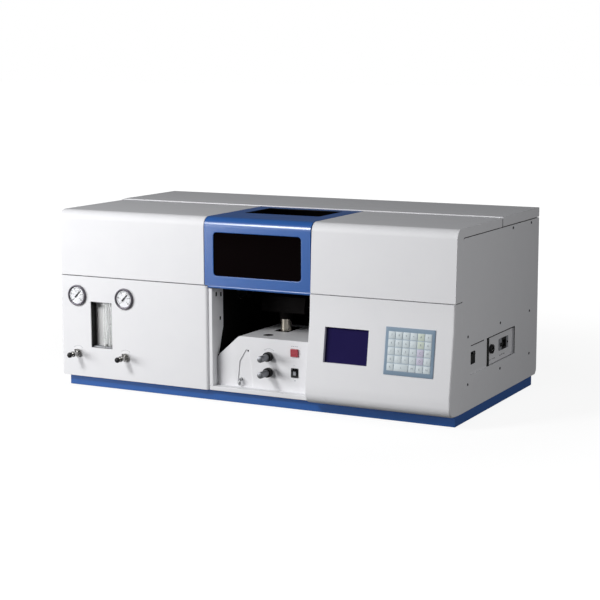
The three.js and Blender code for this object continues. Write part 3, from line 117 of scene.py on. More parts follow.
def add_node(tree, kind, inputs=None, **settings):
    """Adds a node, sets its settings, and gives its inputs constants or links from sockets."""
    made = tree.nodes.new(kind)
    for name, value in settings.items():
        setattr(made, name, value)
    for name, value in (inputs or {}).items():
        if isinstance(value, bpy.types.NodeSocket):
            tree.links.new(value, made.inputs[name])
        else:
            made.inputs[name].default_value = value
    return made


def finish(name, colour, roughness, grain_mm=2.0, relief_mm=0.01, second=None, spread=0.05, **shader):
    """A surface with fine grain in relief, a slow change of colour, and roughness that varies a little."""
    mottle_mm = 45.0
    material = bpy.data.materials.new(name)
    material.use_nodes = True
    tree = material.node_tree
    principled = tree.nodes["Principled BSDF"]
    for socket, value in shader.items():
        principled.inputs[socket.replace("_", " ")].default_value = value
    place = add_node(tree, "ShaderNodeTexCoord")
    grain = add_node(tree, "ShaderNodeTexNoise", {
        "Vector": place.outputs["Object"], "Scale": 1 / (grain_mm * MM), "Detail": 2.0})
    mottle = add_node(tree, "ShaderNodeTexNoise", {
        "Vector": place.outputs["Object"], "Scale": 1 / (mottle_mm * MM), "Detail": 3.0})
    tint = add_node(tree, "ShaderNodeMix", {
        "Factor": mottle.outputs["Fac"], "A": linear(colour), "B": linear(second or colour)},
        data_type="RGBA")
    gloss = add_node(tree, "ShaderNodeMapRange", {
        "Value": mottle.outputs["Fac"], "From Min": 0.3, "From Max": 0.7,
        "To Min": roughness - spread, "To Max": roughness + spread})
    relief = add_node(tree, "ShaderNodeBump", {
        "Height": grain.outputs["Fac"], "Distance": relief_mm * MM, "Strength": 0.6})
    tree.links.new(tint.outputs["Result"], principled.inputs["Base Color"])
    tree.links.new(gloss.outputs["Result"], principled.inputs["Roughness"])
    tree.links.new(relief.outputs["Normal"], principled.inputs["Normal"])
    return material


def turned_finish(name, colour, roughness, groove_mm, axis, **shader):
    """Bright metal with the fine rings that a cutting tool leaves round it."""
    tree = finish(name, colour, roughness, grain_mm=0.6, relief_mm=0.003, **shader).node_tree
    place = add_node(tree, "ShaderNodeTexCoord")
    # The wave texture repeats about six times over one unit of its scale.
    rings = add_node(tree, "ShaderNodeTexWave", {
        "Vector": place.outputs["Object"], "Scale": 1 / (groove_mm * MM) / 6, "Distortion": 0.4},
        wave_type="BANDS", bands_direction=axis)
    relief = add_node(tree, "ShaderNodeBump", {
        "Height": rings.outputs["Fac"], "Distance": 0.02 * MM, "Strength": 0.3})
    tree.links.new(relief.outputs["Normal"], tree.nodes["Principled BSDF"].inputs["Normal"])


def clear_finish(name, colour, roughness, transmission, ior):
    """Clear, thin and polished, with no relief."""
    finish(name, colour, roughness, 8.0, 0.0, spread=0.02, Transmission_Weight=transmission, IOR=ior)


def make_materials(settings):
    """All the finishes, named for the real ones, and a black one for painted shade."""
    # Polyester powder coat on steel sheet: satin, with a fine orange peel drawn 2.5 mm coarse to show.
    finish("white_powder_coat", settings.cover_coat, 0.46, 2.5, 0.012, "#EAEAED", Specular_IOR_Level=0.15)
    finish("grey_powder_coat", "#B4B6B9", 0.52, 2.5, 0.014, "#B0B2B6", Specular_IOR_Level=0.3)
    # Black paint that stands for the shade inside the burner bay, the hood, the burner cover and behind the
    # vent: painted shade.
    finish("black_heat_coat", "#0D0B0C", 0.75, 2.5, 0.02, "#090808", Specular_IOR_Level=0.08)
    # Stoved enamel: smoother than powder coat, with a broad sheen and a thin clear layer over it.
    finish("blue_enamel", settings.hood_enamel, 0.5, 3.0, 0.005, "#265BA4", Specular_IOR_Level=0.02,
           Coat_Weight=0.42, Coat_Roughness=0.27, Coat_IOR=2.5)
    # Injection moulded ABS: fine spark-eroded grain, drawn about 1 mm coarse.
    finish("white_abs", "#E6E6E8", 0.42, 1.0, 0.02, "#ECECEF", Specular_IOR_Level=0.3)
    finish("black_abs", "#101012", 0.42, 0.8, 0.02, "#151517", Specular_IOR_Level=0.3)
    finish("lilac_abs", "#B7B5C6", 0.45, 0.8, 0.015, "#AFADC0", Specular_IOR_Level=0.3)
    finish("grey_abs", "#9A9CA0", 0.36, 0.8, 0.015, "#92949A")
    # Moulded polycarbonate: saturated red, with a polished skin.
    finish("red_polycarbonate", "#AE464F", 0.26, 1.0, 0.005, "#A43D47", Coat_Weight=0.25, Coat_Roughness=0.12)
    # Cast acrylic, smoked: almost black, with a polished face that mirrors the room.
    finish("smoked_acrylic", "#080304", 0.06, 8.0, 0.0, "#060303", spread=0.01, Specular_IOR_Level=0.05)
    # Polyester membrane film with a printed back: even colour under a fine matt texture.
    finish("blue_film", "#7B92A6", 0.5, 0.8, 0.006, "#7E94AA")
    finish("mist_film", "#B2C0CA", 0.5, 0.8, 0.006, "#ACBAC6")
    finish("pale_film", "#D6E0E4", 0.48, 0.8, 0.006, "#CFDADF")
    finish("green_film", "#D3DCD2", 0.48, 0.8, 0.006, "#C9D5C8")
    finish("lilac_film", "#CECADB", 0.48, 0.8, 0.006, "#C4BFD6")
    # Liquid crystal panel switched off behind its polariser: deep indigo, smooth.
    finish("crystal_display", "#211C49", 0.12, 6.0, 0.0, "#251F4F", spread=0.02, Specular_IOR_Level=0.08)
    # Nitrile rubber: matt black.
    finish("nitrile_rubber", "#161616", 0.85, 1.2, 0.03, "#1E1E1D")
    # Aluminium castings under crackle paint, blacked screws, and the green mask of a circuit board.
    finish("black_crackle", "#1E1F21", 0.62, 1.6, 0.12, "#262729")
    finish("dark_screw", "#4A4B50", 0.4, 0.8, 0.01, "#3D3E43", Metallic=0.7)
    finish("solder_mask", "#1E5637", 0.4, 1.0, 0.02, "#1A4C31")
    # Nickel plate on brass is a warm grey mirror, and satin chrome on a gauge's case a darker one.
    finish("nickel_plate", "#B9B8B6", 0.22, 1.2, 0.004, "#ACABA9", Metallic=1)
    finish("satin_chrome", "#625F66", 0.36, 1.2, 0.004, "#57545B", Metallic=0.8)
    # Printed faces: flat enamel on dials, white card, and screen-printed ink in two greys.
    finish("dial_enamel", "#D6D7DA", 0.5, 2.0, 0.002, "#D0D1D5")
    finish("printed_card", "#F2F2F2", 0.5, 2.0, 0.002, "#ECECEC")
    finish("printing_ink", settings.dial_ink, 0.5, 2.0, 0.002, "#2B2C30")
    finish("grey_ink", "#7F8890", 0.5, 2.0, 0.002, "#788189")
    # Turned metals keep their tool rings: aluminium plain or anodised, stainless, titanium darkened to near
    # black as painted shade of the bay, brass.
    turned_finish("grey_anodised", "#7E8084", 0.4, 0.6, "Y", Metallic=0.9)
    turned_finish("black_anodised", "#17181A", 0.45, 0.6, "X", Metallic=0.6)
    turned_finish("turned_aluminium", "#B5B6B8", 0.32, 0.6, "X", Metallic=1)
    turned_finish("stainless", "#CFC8BA", 0.26, 0.5, "Z", Metallic=1)
    turned_finish("browned_titanium", "#0D0A0A", 0.65, 0.8, "Z", Metallic=0.2, Specular_IOR_Level=0.1)
    turned_finish("brass", "#B08D4A", 0.3, 0.6, "Y", Metallic=1)
    # Borosilicate glass, and clear sheets so thin that a low index keeps them from bending the view.
    clear_finish("clear_glass", "#EEF3F4", 0.03, 0.92, 1.47)
    clear_finish("clear_acrylic", "#FBFCFC", 0.08, 0.85, 1.22)
    clear_finish("gauge_glass", "#FFFFFF", 0.04, 1.0, 1.15)


# ---- Mesh building ----

def place_piece(name, mesh, material, body):
    """Links a finished mesh as a piece that rides on a body."""
    piece = bpy.data.objects.new(name, mesh)
    bpy.context.scene.collection.objects.link(piece)
    mesh.materials.clear()
    mesh.materials.append(bpy.data.materials[material])
    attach(piece, body)
    return piece


def piece_from(name, bm, material, body="instrument", smooth_deg=35):
    """Turns an edited mesh into a piece, smooth except at its corners."""
    bmesh.ops.remove_doubles(bm, verts=bm.verts, dist=0.002 * MM)
    bmesh.ops.recalc_face_normals(bm, faces=bm.faces)
    mesh = bpy.data.meshes.new(name)
    bm.to_mesh(mesh)
    bm.free()
    mesh.polygons.foreach_set("use_smooth", [True] * len(mesh.polygons))
    mesh.set_sharp_from_angle(angle=math.radians(smooth_deg))
    return place_piece(name, mesh, material, body)


def stand_in(name, bm, material, node):
    """A piece in place of a CAD node, on the node's body, with the node hidden."""
    piece = piece_from(name, bm, material, body_of_node(node))
    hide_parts(node)
    return piece


def append_mesh(bm, other):
    """Adds one edited mesh to another."""
    mesh = bpy.data.meshes.new("part")
    other.to_mesh(mesh)
    other.free()
    bm.from_mesh(mesh)
    bpy.data.meshes.remove(mesh)


def round_edges(bm, chosen, radius_mm, segments):
    """Rounds the chosen edges."""
    bmesh.ops.bevel(bm, geom=list(chosen), offset=radius_mm * MM, segments=segments, profile=0.5,
                    affect="EDGES", clamp_overlap=True)


def sharp_edges(bm, angle_deg=32):
    """The edges between faces that meet at more than an angle."""
    limit = math.radians(angle_deg)
    return [e for e in bm.edges if len(e.link_faces) == 2 and e.calc_face_angle(0) > limit]


def cad_mesh(node):
    """The node's CAD mesh, welded, with its flat faces made whole."""
    bm = bmesh.new()
    bm.from_mesh(frame["nodes"][node].data)
    bmesh.ops.remove_doubles(bm, verts=bm.verts, dist=0.005 * MM)
    bmesh.ops.dissolve_limit(bm, angle_limit=math.radians(0.6), verts=bm.verts, edges=bm.edges)
    return bm


def score(bm, point, normal):
    """Cuts the faces along a plane so that a finish can end there."""
    bmesh.ops.bisect_plane(
        bm, geom=bm.verts[:] + bm.edges[:] + bm.faces[:], plane_co=point, plane_no=normal)


def refine(node, material, edge_mm, segments=2, rounds=(), scores=(), until_y=math.inf):
    """A CAD node with its edges rounded, standing for the node. Some edges take a radius of their own.

    Behind until_y, where a cover has its hinge notches, the edges stay as they are.
    """
    corner_segments = 5
    bm = cad_mesh(node)
    if until_y < math.inf:
        score(bm, Vector((0, until_y, 0)), OUTWARD)

    def free_edges():
        return [e for e in sharp_edges(bm) if max(v.co.y for v in e.verts) < until_y + HAIR
                and min(v.co.y for v in e.verts) < until_y - HAIR]

    for chosen, radius_mm in rounds:
        round_edges(bm, [e for e in free_edges() if chosen(e)], radius_mm, corner_segments)
    if edge_mm:
        round_edges(bm, free_edges(), edge_mm, segments)
    for point, normal in scores:
        score(bm, point, normal)
    piece = stand_in(f"{node}_finish", bm, material, node)
    flats = piece.modifiers.new("flat_faces", "WEIGHTED_NORMAL")
    flats.keep_sharp = True
    flats.weight = 100
    return piece


def refine_all(*rows):
    """Refines plain nodes, each given by its name, finish and edge radius in millimetres."""
    for node, material, edge_mm in rows:
        refine(node, material, edge_mm)


def repaint(piece, material, chosen):
    """Gives a second finish to the faces that a test on their middle and normal picks."""
    piece.data.materials.append(bpy.data.materials[material])
    last = len(piece.data.materials) - 1
    for face in piece.data.polygons:
        if chosen(face.center, face.normal):
            face.material_index = last


def ring_of(bm, middle, side, third, radius_mm, segments):
    """Ring of vertices round a point, in the plane of two directions."""
    turns = [2 * math.pi * i / segments for i in range(segments)]
    return [bm.verts.new(middle + (side * math.cos(t) + third * math.sin(t)) * radius_mm * MM)
            for t in turns]


def bridge(bm, first, second):
    """Faces between two closed rings of vertices, either of which may be a single one."""
    count = max(len(first), len(second))
    for i in range(count):
        j = (i + 1) % count
        corners = dict.fromkeys((first[i % len(first)], first[j % len(first)],
                                 second[j % len(second)], second[i % len(second)]))
        if len(corners) > 2:
            bm.faces.new(list(corners))


def lathe(profile, axis, centre, segments=64):
    """Turned form from [position, radius] pairs in millimetres along an axis through a point."""
    bm = bmesh.new()
    along = Vector(axis).normalized()
    side = along.orthogonal().normalized()
    third = along.cross(side)
    rings = []
    for position, radius in profile:
        middle = centre + along * position * MM
        rings.append(ring_of(bm, middle, side, third, radius, segments) if radius else [bm.verts.new(middle)])
    for first, second in zip(rings, rings[1:]):
        bridge(bm, first, second)
    return bm


def slab(low, high, round_mm=0.0, segments=2):
    """Box between two corners, with its edges rounded."""
    bm = bmesh.new()
    bmesh.ops.create_cube(bm, size=1)
    stretch = Matrix.Translation((low + high) / 2) @ Matrix.Diagonal((*(high - low), 1))
    bmesh.ops.transform(bm, matrix=stretch, verts=bm.verts)
    if round_mm:
        round_edges(bm, bm.edges, round_mm, segments)
    return bm


def outline_frame(centre, right, up, width_mm, height_mm, radius_mm, band_mm, thick_mm):
    """Rounded rectangular frame lying on a plane, standing out along the plane's normal."""
    corner_steps = 6
    normal = right.cross(up).normalized()
    bm = bmesh.new()
    loops = []
    for inset, lift in ((0, 0), (0, thick_mm), (band_mm, thick_mm), (band_mm, 0)):
        half_w = width_mm / 2 - inset
        half_h = height_mm / 2 - inset
        radius = max(radius_mm - inset, 0.2)
        loop = []
        for corner, (sx, sy) in enumerate(((1, 1), (-1, 1), (-1, -1), (1, -1))):
            for step in range(corner_steps + 1):
                turn = math.pi / 2 * (corner + step / corner_steps)
                u = sx * (half_w - radius) + radius * math.cos(turn)
                v = sy * (half_h - radius) + radius * math.sin(turn)
                loop.append(bm.verts.new(centre + (right * u + up * v + normal * lift) * MM))
        loops.append(loop)
    for first, second in zip(loops, loops[1:] + loops[:1]):
        bridge(bm, first, second)
    return bm


def sweep(points, radius_mm, segments=10):
    """Round wire that follows points of the frame."""
    bm = bmesh.new()
    rings = []
    side = None
    for i, point in enumerate(points):
        ahead = (points[min(i + 1, len(points) - 1)] - points[max(i - 1, 0)]).normalized()
        side = ahead.orthogonal() if side is None else side - ahead * side.dot(ahead)
        side.normalize()
        rings.append(ring_of(bm, point, side, ahead.cross(side), radius_mm, segments))
    for first, second in zip(rings, rings[1:]):
        bridge(bm, first, second)
    bm.faces.new(rings[0])
    bm.faces.new(rings[-1])
    return bm


def fluted(bm, centre, flutes, from_radius_mm, depth_mm):
    """Pulls flutes into the round side of a form turned along Y."""
    for vert in bm.verts:
        dx, dz = vert.co.x - centre.x, vert.co.z - centre.z
        radius = math.hypot(dx, dz)
        if radius < from_radius_mm * MM:
            continue
        wave = 0.5 + 0.5 * math.cos(flutes * math.atan2(dz, dx))
        share = (radius - depth_mm * MM * wave) / radius
        vert.co.x = centre.x + dx * share
        vert.co.z = centre.z + dz * share
    return bm


def screw_head(centre, normal, radius_mm, height_mm):
    """Pan head with a recess in its middle."""
    profile = [(0, 1), (0.45, 1), (0.85, 0.78), (1, 0.45), (1, 0.42), (0.4, 0.2), (0.4, 0)]
    return lathe([(height_mm * rise, radius_mm * reach) for rise, reach in profile], normal, centre, 20)


def digits(name, text, centre, right, up, height_mm, material):
    """Printed figures lying on a face."""
    curve = bpy.data.curves.new(name, "FONT")
    curve.body = text
    curve.size = height_mm * MM
    curve.align_x = "CENTER"
    curve.align_y = "CENTER"
    curve.extrude = 0.03 * MM
    curve.resolution_u = 3
    made = bpy.data.objects.new(name, curve)
    bpy.context.scene.collection.objects.link(made)
    normal = right.cross(up)
    made.matrix_world = Matrix.Translation(centre) @ Matrix((right, up, normal)).transposed().to_4x4()
    bpy.context.view_layer.update()
    mesh = bpy.data.meshes.new_from_object(made.evaluated_get(bpy.context.evaluated_depsgraph_get()))
    mesh.transform(made.matrix_world)
    bpy.data.objects.remove(made)
    return place_piece(name, mesh, material, "instrument")


def printed_arc(centre):
    """Thin printed arc over a knob on an upright front, with a short tick at each end."""
    radius_mm, width_mm, steps = 17.5, 0.5, 24
    from_deg, to_deg = 50, 130
    tick_in, tick_out = radius_mm - 1.2, radius_mm + 1.6
    bm = bmesh.new()

    def spot(radius, turn):
        return bm.verts.new(centre + Vector((
            math.cos(turn) * radius, -PRINT_LIFT_MM, math.sin(turn) * radius)) * MM)

    rows = []
    for step in range(steps + 1):
        turn = math.radians(from_deg + (to_deg - from_deg) * step / steps)
        rows.append((spot(radius_mm, turn), spot(radius_mm + width_mm, turn)))
    for (a, b), (c, d) in zip(rows, rows[1:]):
        bm.faces.new((a, c, d, b))
    half = width_mm / radius_mm / 2
    for turn in (math.radians(from_deg), math.radians(to_deg)):
        bm.faces.new((spot(tick_in, turn - half), spot(tick_in, turn + half),
                      spot(tick_out, turn + half), spot(tick_out, turn - half)))
    return bm


def printed_bars(origin, right, up, bars):
    """Printed bars on a face, each by its middle, width and height in millimetres from an origin."""
    bm = bmesh.new()
    base = origin + right.cross(up) * PRINT_LIFT_MM * MM
    for u, v, width, height in bars:
        bm.faces.new([bm.verts.new(base + (right * (u + su * width / 2) + up * (v + sv * height / 2)) * MM)
                      for su, sv in ((-1, -1), (1, -1), (1, 1), (-1, 1))])
    return bm


# ---- Sizes and colours that a user would change ----

class SpectrometerFinishSettings(bpy.types.PropertyGroup):
    """Edge radii, small fittings and colours."""
    cover_edge: FloatProperty(
        name="Cover edge", description="Radius on the edges of the painted covers", default=1.1 * MM,
        unit="LENGTH")
    corner_edge: FloatProperty(
        name="Corner edge", description="Radius where fronts meet the sides", default=7.0 * MM,
        unit="LENGTH")
    knob_flutes: IntProperty(
        name="Knob flutes", description="Flutes round each adjusting knob's collar", default=28)
    dial_marks: IntProperty(
        name="Dial marks", description="Scale marks on each pressure gauge", default=26)
    cover_coat: StringProperty(
        name="Cover coat", description="Colour of the painted covers as sRGB hex", default="#EEEEF0")
    hood_enamel: StringProperty(
        name="Hood enamel", description="Colour of the hood and plinth as sRGB hex", default="#2560AF")
    dial_ink: StringProperty(
        name="Dial ink", description="Colour of the printed scales as sRGB hex", default="#26272B")


class SpectrometerStageSettings(bpy.types.PropertyGroup):
    """Light and camera."""
    front_power: FloatProperty(
        name="Front power", description="Strength of the low soft light in front", default=85.0,
        unit="POWER")
    upper_power: FloatProperty(
        name="Upper power", description="Strength of the small light above the front", default=35.0,
        unit="POWER")
    side_power: FloatProperty(
        name="Side power", description="Strength of the soft light on the right", default=12.5,
        unit="POWER")
    sky_colour: FloatVectorProperty(
        name="Sky colour", description="Colour of the even light all round", default=(0.93, 0.96, 1.0),
        subtype="COLOR", size=3)
    sky_strength: FloatProperty(
        name="Sky strength", description="Strength of the even light all round", default=0.085)
    backdrop_in_gloss: FloatProperty(
        name="Backdrop in gloss", description="Share of the white backdrop that metal and gloss mirror",
        default=0.08, subtype="FACTOR")
    focal_length: FloatProperty(
        name="Focal length", description="Focal length of the camera's lens", default=93.996,
        unit="CAMERA")


# ---- Operators ----

class SPECTROMETER_OT_cabinet(bpy.types.Operator):
    """Painted covers and side panels with rounded edges"""
    bl_idname = "spectrometer.cabinet"
    bl_label = "Cabinet"

    def execute(self, context):
        settings = context.scene.spectrometer_finish
        edge = settings.cover_edge / MM
        corner = settings.corner_edge / MM
        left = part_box("left_side_panel")[0].x
        panel_low, panel_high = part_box("right_side_panel")
        gas_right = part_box("gas_panel")[1].x
        top, shoulder = 427 * MM, 400 * MM

        def on_outer(side_x):
            """Edges that run up the front and over the top at one end of the cabinet."""
            def chosen(e):
                a, b = (v.co for v in e.verts)
                middle = (a + b) / 2
                at_end = abs(a.x - side_x) < TOUCH and abs(b.x - side_x) < TOUCH
                in_front = middle.y < panel_low.y - 6 * MM or middle.z > top
                level_and_low = abs(a.z - b.z) < HAIR and middle.z < shoulder
                return at_end and in_front and not level_and_low and (
                    abs(a.y - b.y) + abs(a.z - b.z) > HAIR)
            return chosen

        def gas_outer(e):
            """The gas panel's left front edge, and the upright edge beside the burner bay."""
            a, b = (v.co for v in e.verts)
            beside_bay = all(
                abs(v.x - gas_right) < TOUCH and v.y < panel_low.y - 30 * MM for v in (a, b))
            return on_outer(left)(e) or (beside_bay and abs(a.z - b.z) > 100 * MM)

        right = on_outer(panel_high.x)
        for node, chosen, until_y in (
                ("lamp_cover", on_outer(left), cabinet(0, NOTCHES_MM, 0).y), ("gas_panel", gas_outer, math.inf),
                ("monochromator_cover", right, math.inf), ("control_panel", right, math.inf)):
            refine(node, "white_powder_coat", edge, rounds=[(chosen, corner)], until_y=until_y)
        refine("bay_sill", "white_powder_coat", edge)
        for node in ("left_side_panel", "right_side_panel", "service_plate"):
            refine(node, "white_powder_coat", 0.4)
        return {"FINISHED"}


class SPECTROMETER_OT_rear(bpy.types.Operator):
    """Rear panel with its gas inlets and fan, and the rear top cover"""
    bl_idname = "spectrometer.rear"
    bl_label = "Rear"

    def execute(self, context):
        # Inlet tails stand behind the rear sheet, each with a washer, a brass nut and three barbs.
        inlets_x, inlets_z = (-460.5, -393.5, -326.5), 120
        back_y = cabinet(0, REAR_MM, 0).y
        panel = refine("rear_panel", "white_powder_coat", 0.4)
        repaint(panel, "nickel_plate", lambda c, n: c.y > back_y + 0.5 * MM)
        nuts, washers = bmesh.new(), bmesh.new()
        for x in inlets_x:
            at = cabinet(x, REAR_MM, inlets_z)
            append_mesh(nuts, lathe(
                [(0.8, 7), (0.8, 11), (1.4, 11.6), (5.6, 11.6), (6.2, 11), (6.2, 7)], TO_REAR, at, 6))
            append_mesh(washers, lathe([(0, 7), (0, 13.5), (0.8, 13.5), (0.8, 7)], TO_REAR, at, 40))
            for start in (8.5, 12, 15.5):
                barb = [(start, 7.7), (start + 2.3, 7.05), (start, 7.05), (start, 7.7)]
                append_mesh(nuts, lathe(barb, TO_REAR, at, 32))
        piece_from("inlet_nuts", nuts, "brass", smooth_deg=25)
        piece_from("inlet_washers", washers, "nickel_plate")
        # A wire guard stands before the fan, held by four screws, and the rotor turns behind it.
        fan_x, fan_z = 300, 250
        hub = cabinet(fan_x, REAR_MM + 2, fan_z)
        guard = bmesh.new()
        for reach in (13, 22, 31, 40):
            ring = [hub + upright(2 * math.pi * step / 48) * reach * MM for step in range(49)]
            append_mesh(guard, sweep(ring, 0.9))
        for turn in range(4):
            way = upright(math.pi * (turn / 2 + 0.25))
            append_mesh(guard, sweep([hub + way * 12 * MM, hub + way * 50 * MM], 1.0))
            append_mesh(guard, screw_head(cabinet(fan_x, REAR_MM, fan_z) + way * 50 * MM, TO_REAR, 3.6, 2.4))
        piece_from("fan_guard", guard, "nickel_plate")
        seat = cabinet(fan_x, REAR_MM - 12, fan_z)
        near, far = cabinet(fan_x, REAR_MM - 11, fan_z), cabinet(fan_x, REAR_MM - 5, fan_z)
        rotor = lathe([(0, 0), (0, 15), (7, 17), (8, 16), (8, 0)], TO_REAR, seat, 40)
        blades = 7
        for blade in range(blades):
            turn = 2 * math.pi * blade / blades
            out, across = upright(turn), Vector((-math.sin(turn), 0, math.cos(turn)))
            rotor.faces.new([
                rotor.verts.new(plane + out * reach * MM + across * lean * MM)
                for plane, reach, lean in ((near, 16, -5), (near, 39, -4), (far, 39, 13), (far, 16, 6))])
        shroud = [(-3, 41.5), (-3, 46), (10, 46), (10, 41.5), (-3, 41.5)]
        append_mesh(rotor, lathe(shroud, TO_REAR, seat, 64))
        piece_from("fan_rotor", rotor, "black_abs")
        # The rear top's front skirt closes the hood's back, and is painted black as shade between the hood's
        # ends.
        hood_low, hood_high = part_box("burner_hood")
        brow = hood_high.z - 1.5 * MM
        lid = refine("rear_top_cover", "white_powder_coat", 0.4, scores=[
            (hood_low, RIGHT), (hood_high, RIGHT), (Vector((0, 0, brow)), UP)])
        repaint(lid, "black_heat_coat", lambda c, n: (
            n.y < -0.9 and c.z < brow and hood_low.x < c.x < hood_high.x))
        return {"FINISHED"}


class SPECTROMETER_OT_bay(bpy.types.Operator):
    """Walls of the burner bay with painted shade and black blocks in their slots, and the base below"""
    bl_idname = "spectrometer.bay"
    bl_label = "Burner bay and base"

    def execute(self, context):
        # Both walls are painted black as shade behind the hood's front, and further forward beside the burner
        # cover.
        upper = cabinet(0, -206, 170)
        slope = (cabinet(0, -225, 112) - upper).cross(RIGHT).normalized()
        lower = cabinet(0, -232, 108)
        ahead = math.copysign(1, slope.y)
        for node in ("bay_left_wall", "bay_right_wall"):
            wall = refine(node, "white_powder_coat", 0.4, scores=(
                (upper, TO_REAR), (upper, slope), (lower, TO_REAR), (lower, UP)))
            repaint(wall, "black_heat_coat", lambda c, n: c.y > upper.y or (
                (c - upper).dot(slope) * ahead > 0 if c.z > lower.z else c.y > lower.y))
        # Black blocks fill the left wall's slots and holes as painted shade: place along Y and Z, width and
        # height.
        slot_shades = bmesh.new()
        wall_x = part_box("bay_left_wall")[1].x
        for y, z, wide, tall in (
                (-237, 249, 5, 10), (-216, 246, 5, 10), (-220, 191, 4, 8), (-228, 54, 3, 4), (-231, 43, 4, 3)):
            at = cabinet(0, y, z)
            at.x = wall_x
            append_mesh(slot_shades, slab(at - Vector((0.5, wide / 2, tall / 2)) * MM,
                                    at + Vector((1.2, wide / 2, tall / 2)) * MM, 0.5))
        piece_from("bay_wall_slot_shades", slot_shades, "black_abs")
        # The cross frame at the back of the bay is painted black as shade.
        refine_all(
            ("cross_frame", "black_heat_coat", 0.3), ("base_deck", "grey_powder_coat", 0.4),
            ("plinth", "blue_enamel", 0.8),
            *((f"foot_{end}", "nitrile_rubber", 0.5)
              for end in ("front_left", "front_right", "rear_left", "rear_right")))
        return {"FINISHED"}


class SPECTROMETER_OT_hood(bpy.types.Operator):
    """Blue hood over the burner with its smoked window and rod"""
    bl_idname = "spectrometer.hood"
    bl_label = "Burner hood"

    def execute(self, context):
        low, high, heart = box_and_middle("burner_hood")
        bend = 22 * MM

        def cheek(e):
            """Edges along the outside of the hood's two ends."""
            a, b = (v.co for v in e.verts)
            middle = (a + b) / 2
            at_end = any(abs(a.x - x) < TOUCH and abs(b.x - x) < TOUCH for x in (low.x, high.x))
            dy = min(middle.y - low.y - bend, 0)
            dz = max(middle.z - high.z + bend, 0)
            return at_end and math.hypot(dy, dz) > bend - 1 * MM

        def sill(e):
            """Edges round the window on the hood's front."""
            return all(abs(v.co.y - low.y) < TOUCH and low.x + 8 * MM < v.co.x < high.x - 8 * MM
                       and low.z + 12 * MM < v.co.z < high.z - bend for v in e.verts)

        hood = refine("burner_hood", "blue_enamel", 0.9, segments=3, rounds=[(cheek, 2.6), (sill, 1.6)],
                      until_y=cabinet(0, NOTCHES_MM, 0).y)
        # The hood's inside is painted black as shade.
        repaint(hood, "black_heat_coat", lambda c, n: n.dot(c - heart) < 0)
        refine_all(("hood_window", "smoked_acrylic", 0.4), ("cover_hinge_rod", "stainless", 0.2))
        return {"FINISHED"}


class SPECTROMETER_OT_gauges(bpy.types.Operator):
    """Pressure gauges with rims, printed dials, pointers and glasses"""
    bl_idname = "spectrometer.gauges"
    bl_label = "Pressure gauges"

    def execute(self, context):
        marks = context.scene.spectrometer_finish.dial_marks
        # Every fifth mark is longer, broader and has a figure; the scale runs over 270 degrees.
        group, scale_start, scale_sweep, scale_end_mm, figure_mm = 5, -45, 270, 18.6, 10.6
        lift = Vector((0, -0.06 * MM, 0))
        ways = [Vector((-math.cos(turn), 0, math.sin(turn))) for turn in (
            math.radians(scale_start + scale_sweep * mark / (marks - 1)) for mark in range(marks))]
        half_blade = [(-7, 1.8), (-6.2, 2.4), (-1, 1.6), (11, 1.5), (16.8, 0.3)]
        blade_outline = half_blade + [(u, -v) for u, v in reversed(half_blade)]
        for side in ("left", "right"):
            low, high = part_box(f"gauge_{side}")
            middle = Vector(((low.x + high.x) / 2, low.y, (low.z + high.z) / 2))
            back = (high.y - low.y) / MM
            case = lathe([
                (-back, 0), (-back, 21), (-back + 1, 22), (-5.4, 22), (-5.4, 24.6), (-5, 25), (-1.6, 25),
                (-0.5, 24.5), (0, 23.4), (-0.1, 21.8), (-1.0, 20.4), (-3.2, 20.1), (-3.3, 21), (-3.3, 0)],
                OUTWARD, middle, 72)
            stand_in(f"gauge_case_{side}", case, "satin_chrome", f"gauge_{side}")
            face = middle + Vector((0, 3.1 * MM, 0))
            dial = lathe([(-0.15, 0), (-0.15, 20.9), (0, 20.9), (0, 0)], OUTWARD, face)
            piece_from(f"gauge_dial_{side}", dial, "dial_enamel")
            ink = bmesh.new()
            for mark, way in enumerate(ways):
                start_mm, half_mm = (13.4, 0.8) if mark % group == 0 else (15.4, 0.42)
                across = Vector((way.z, 0, -way.x)) * half_mm * MM
                inner, outer = way * start_mm * MM, way * scale_end_mm * MM
                ink.faces.new([ink.verts.new(face + lift + corner) for corner in (
                    inner + across, outer + across, outer - across, inner - across)])
            piece_from(f"gauge_scale_{side}", ink, "printing_ink")
            for mark in range(0, marks, group):
                spot = face + ways[mark] * figure_mm * MM + lift
                digits(f"gauge_figure_{side}_{mark}", str(mark // group * 2), spot, RIGHT, UP, 4.6,
                       "printing_ink")
            needle_low, needle_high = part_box(f"gauge_needle_{side}")
            way = Vector((1, 0, 1)).normalized()
            across = Vector((-1, 0, 1)).normalized()
            hub = Vector((middle.x, (needle_low.y + needle_high.y) / 2, middle.z))
            pointer = lathe([(-0.7, 0), (-0.7, 2.4), (0.4, 2.4), (0.7, 1.8), (0.7, 0)], OUTWARD, hub, 32)
            blade = bmesh.new()
            rear, front = (
                [blade.verts.new(hub + way * u * MM + across * v * MM + OUTWARD * proud * MM)
                 for u, v in blade_outline] for proud in (-0.2, 0.2))
            blade.faces.new(rear)
            blade.faces.new(front)
            bridge(blade, rear, front)
            append_mesh(pointer, blade)
            stand_in(f"gauge_pointer_{side}", pointer, "black_abs", f"gauge_needle_{side}")
            glass = lathe([(-1.3, 0), (-1.3, 20.9), (-0.9, 20.9), (-0.9, 0)], OUTWARD, middle)
            piece_from(f"gauge_glass_{side}", glass, "gauge_glass")
        return {"FINISHED"}


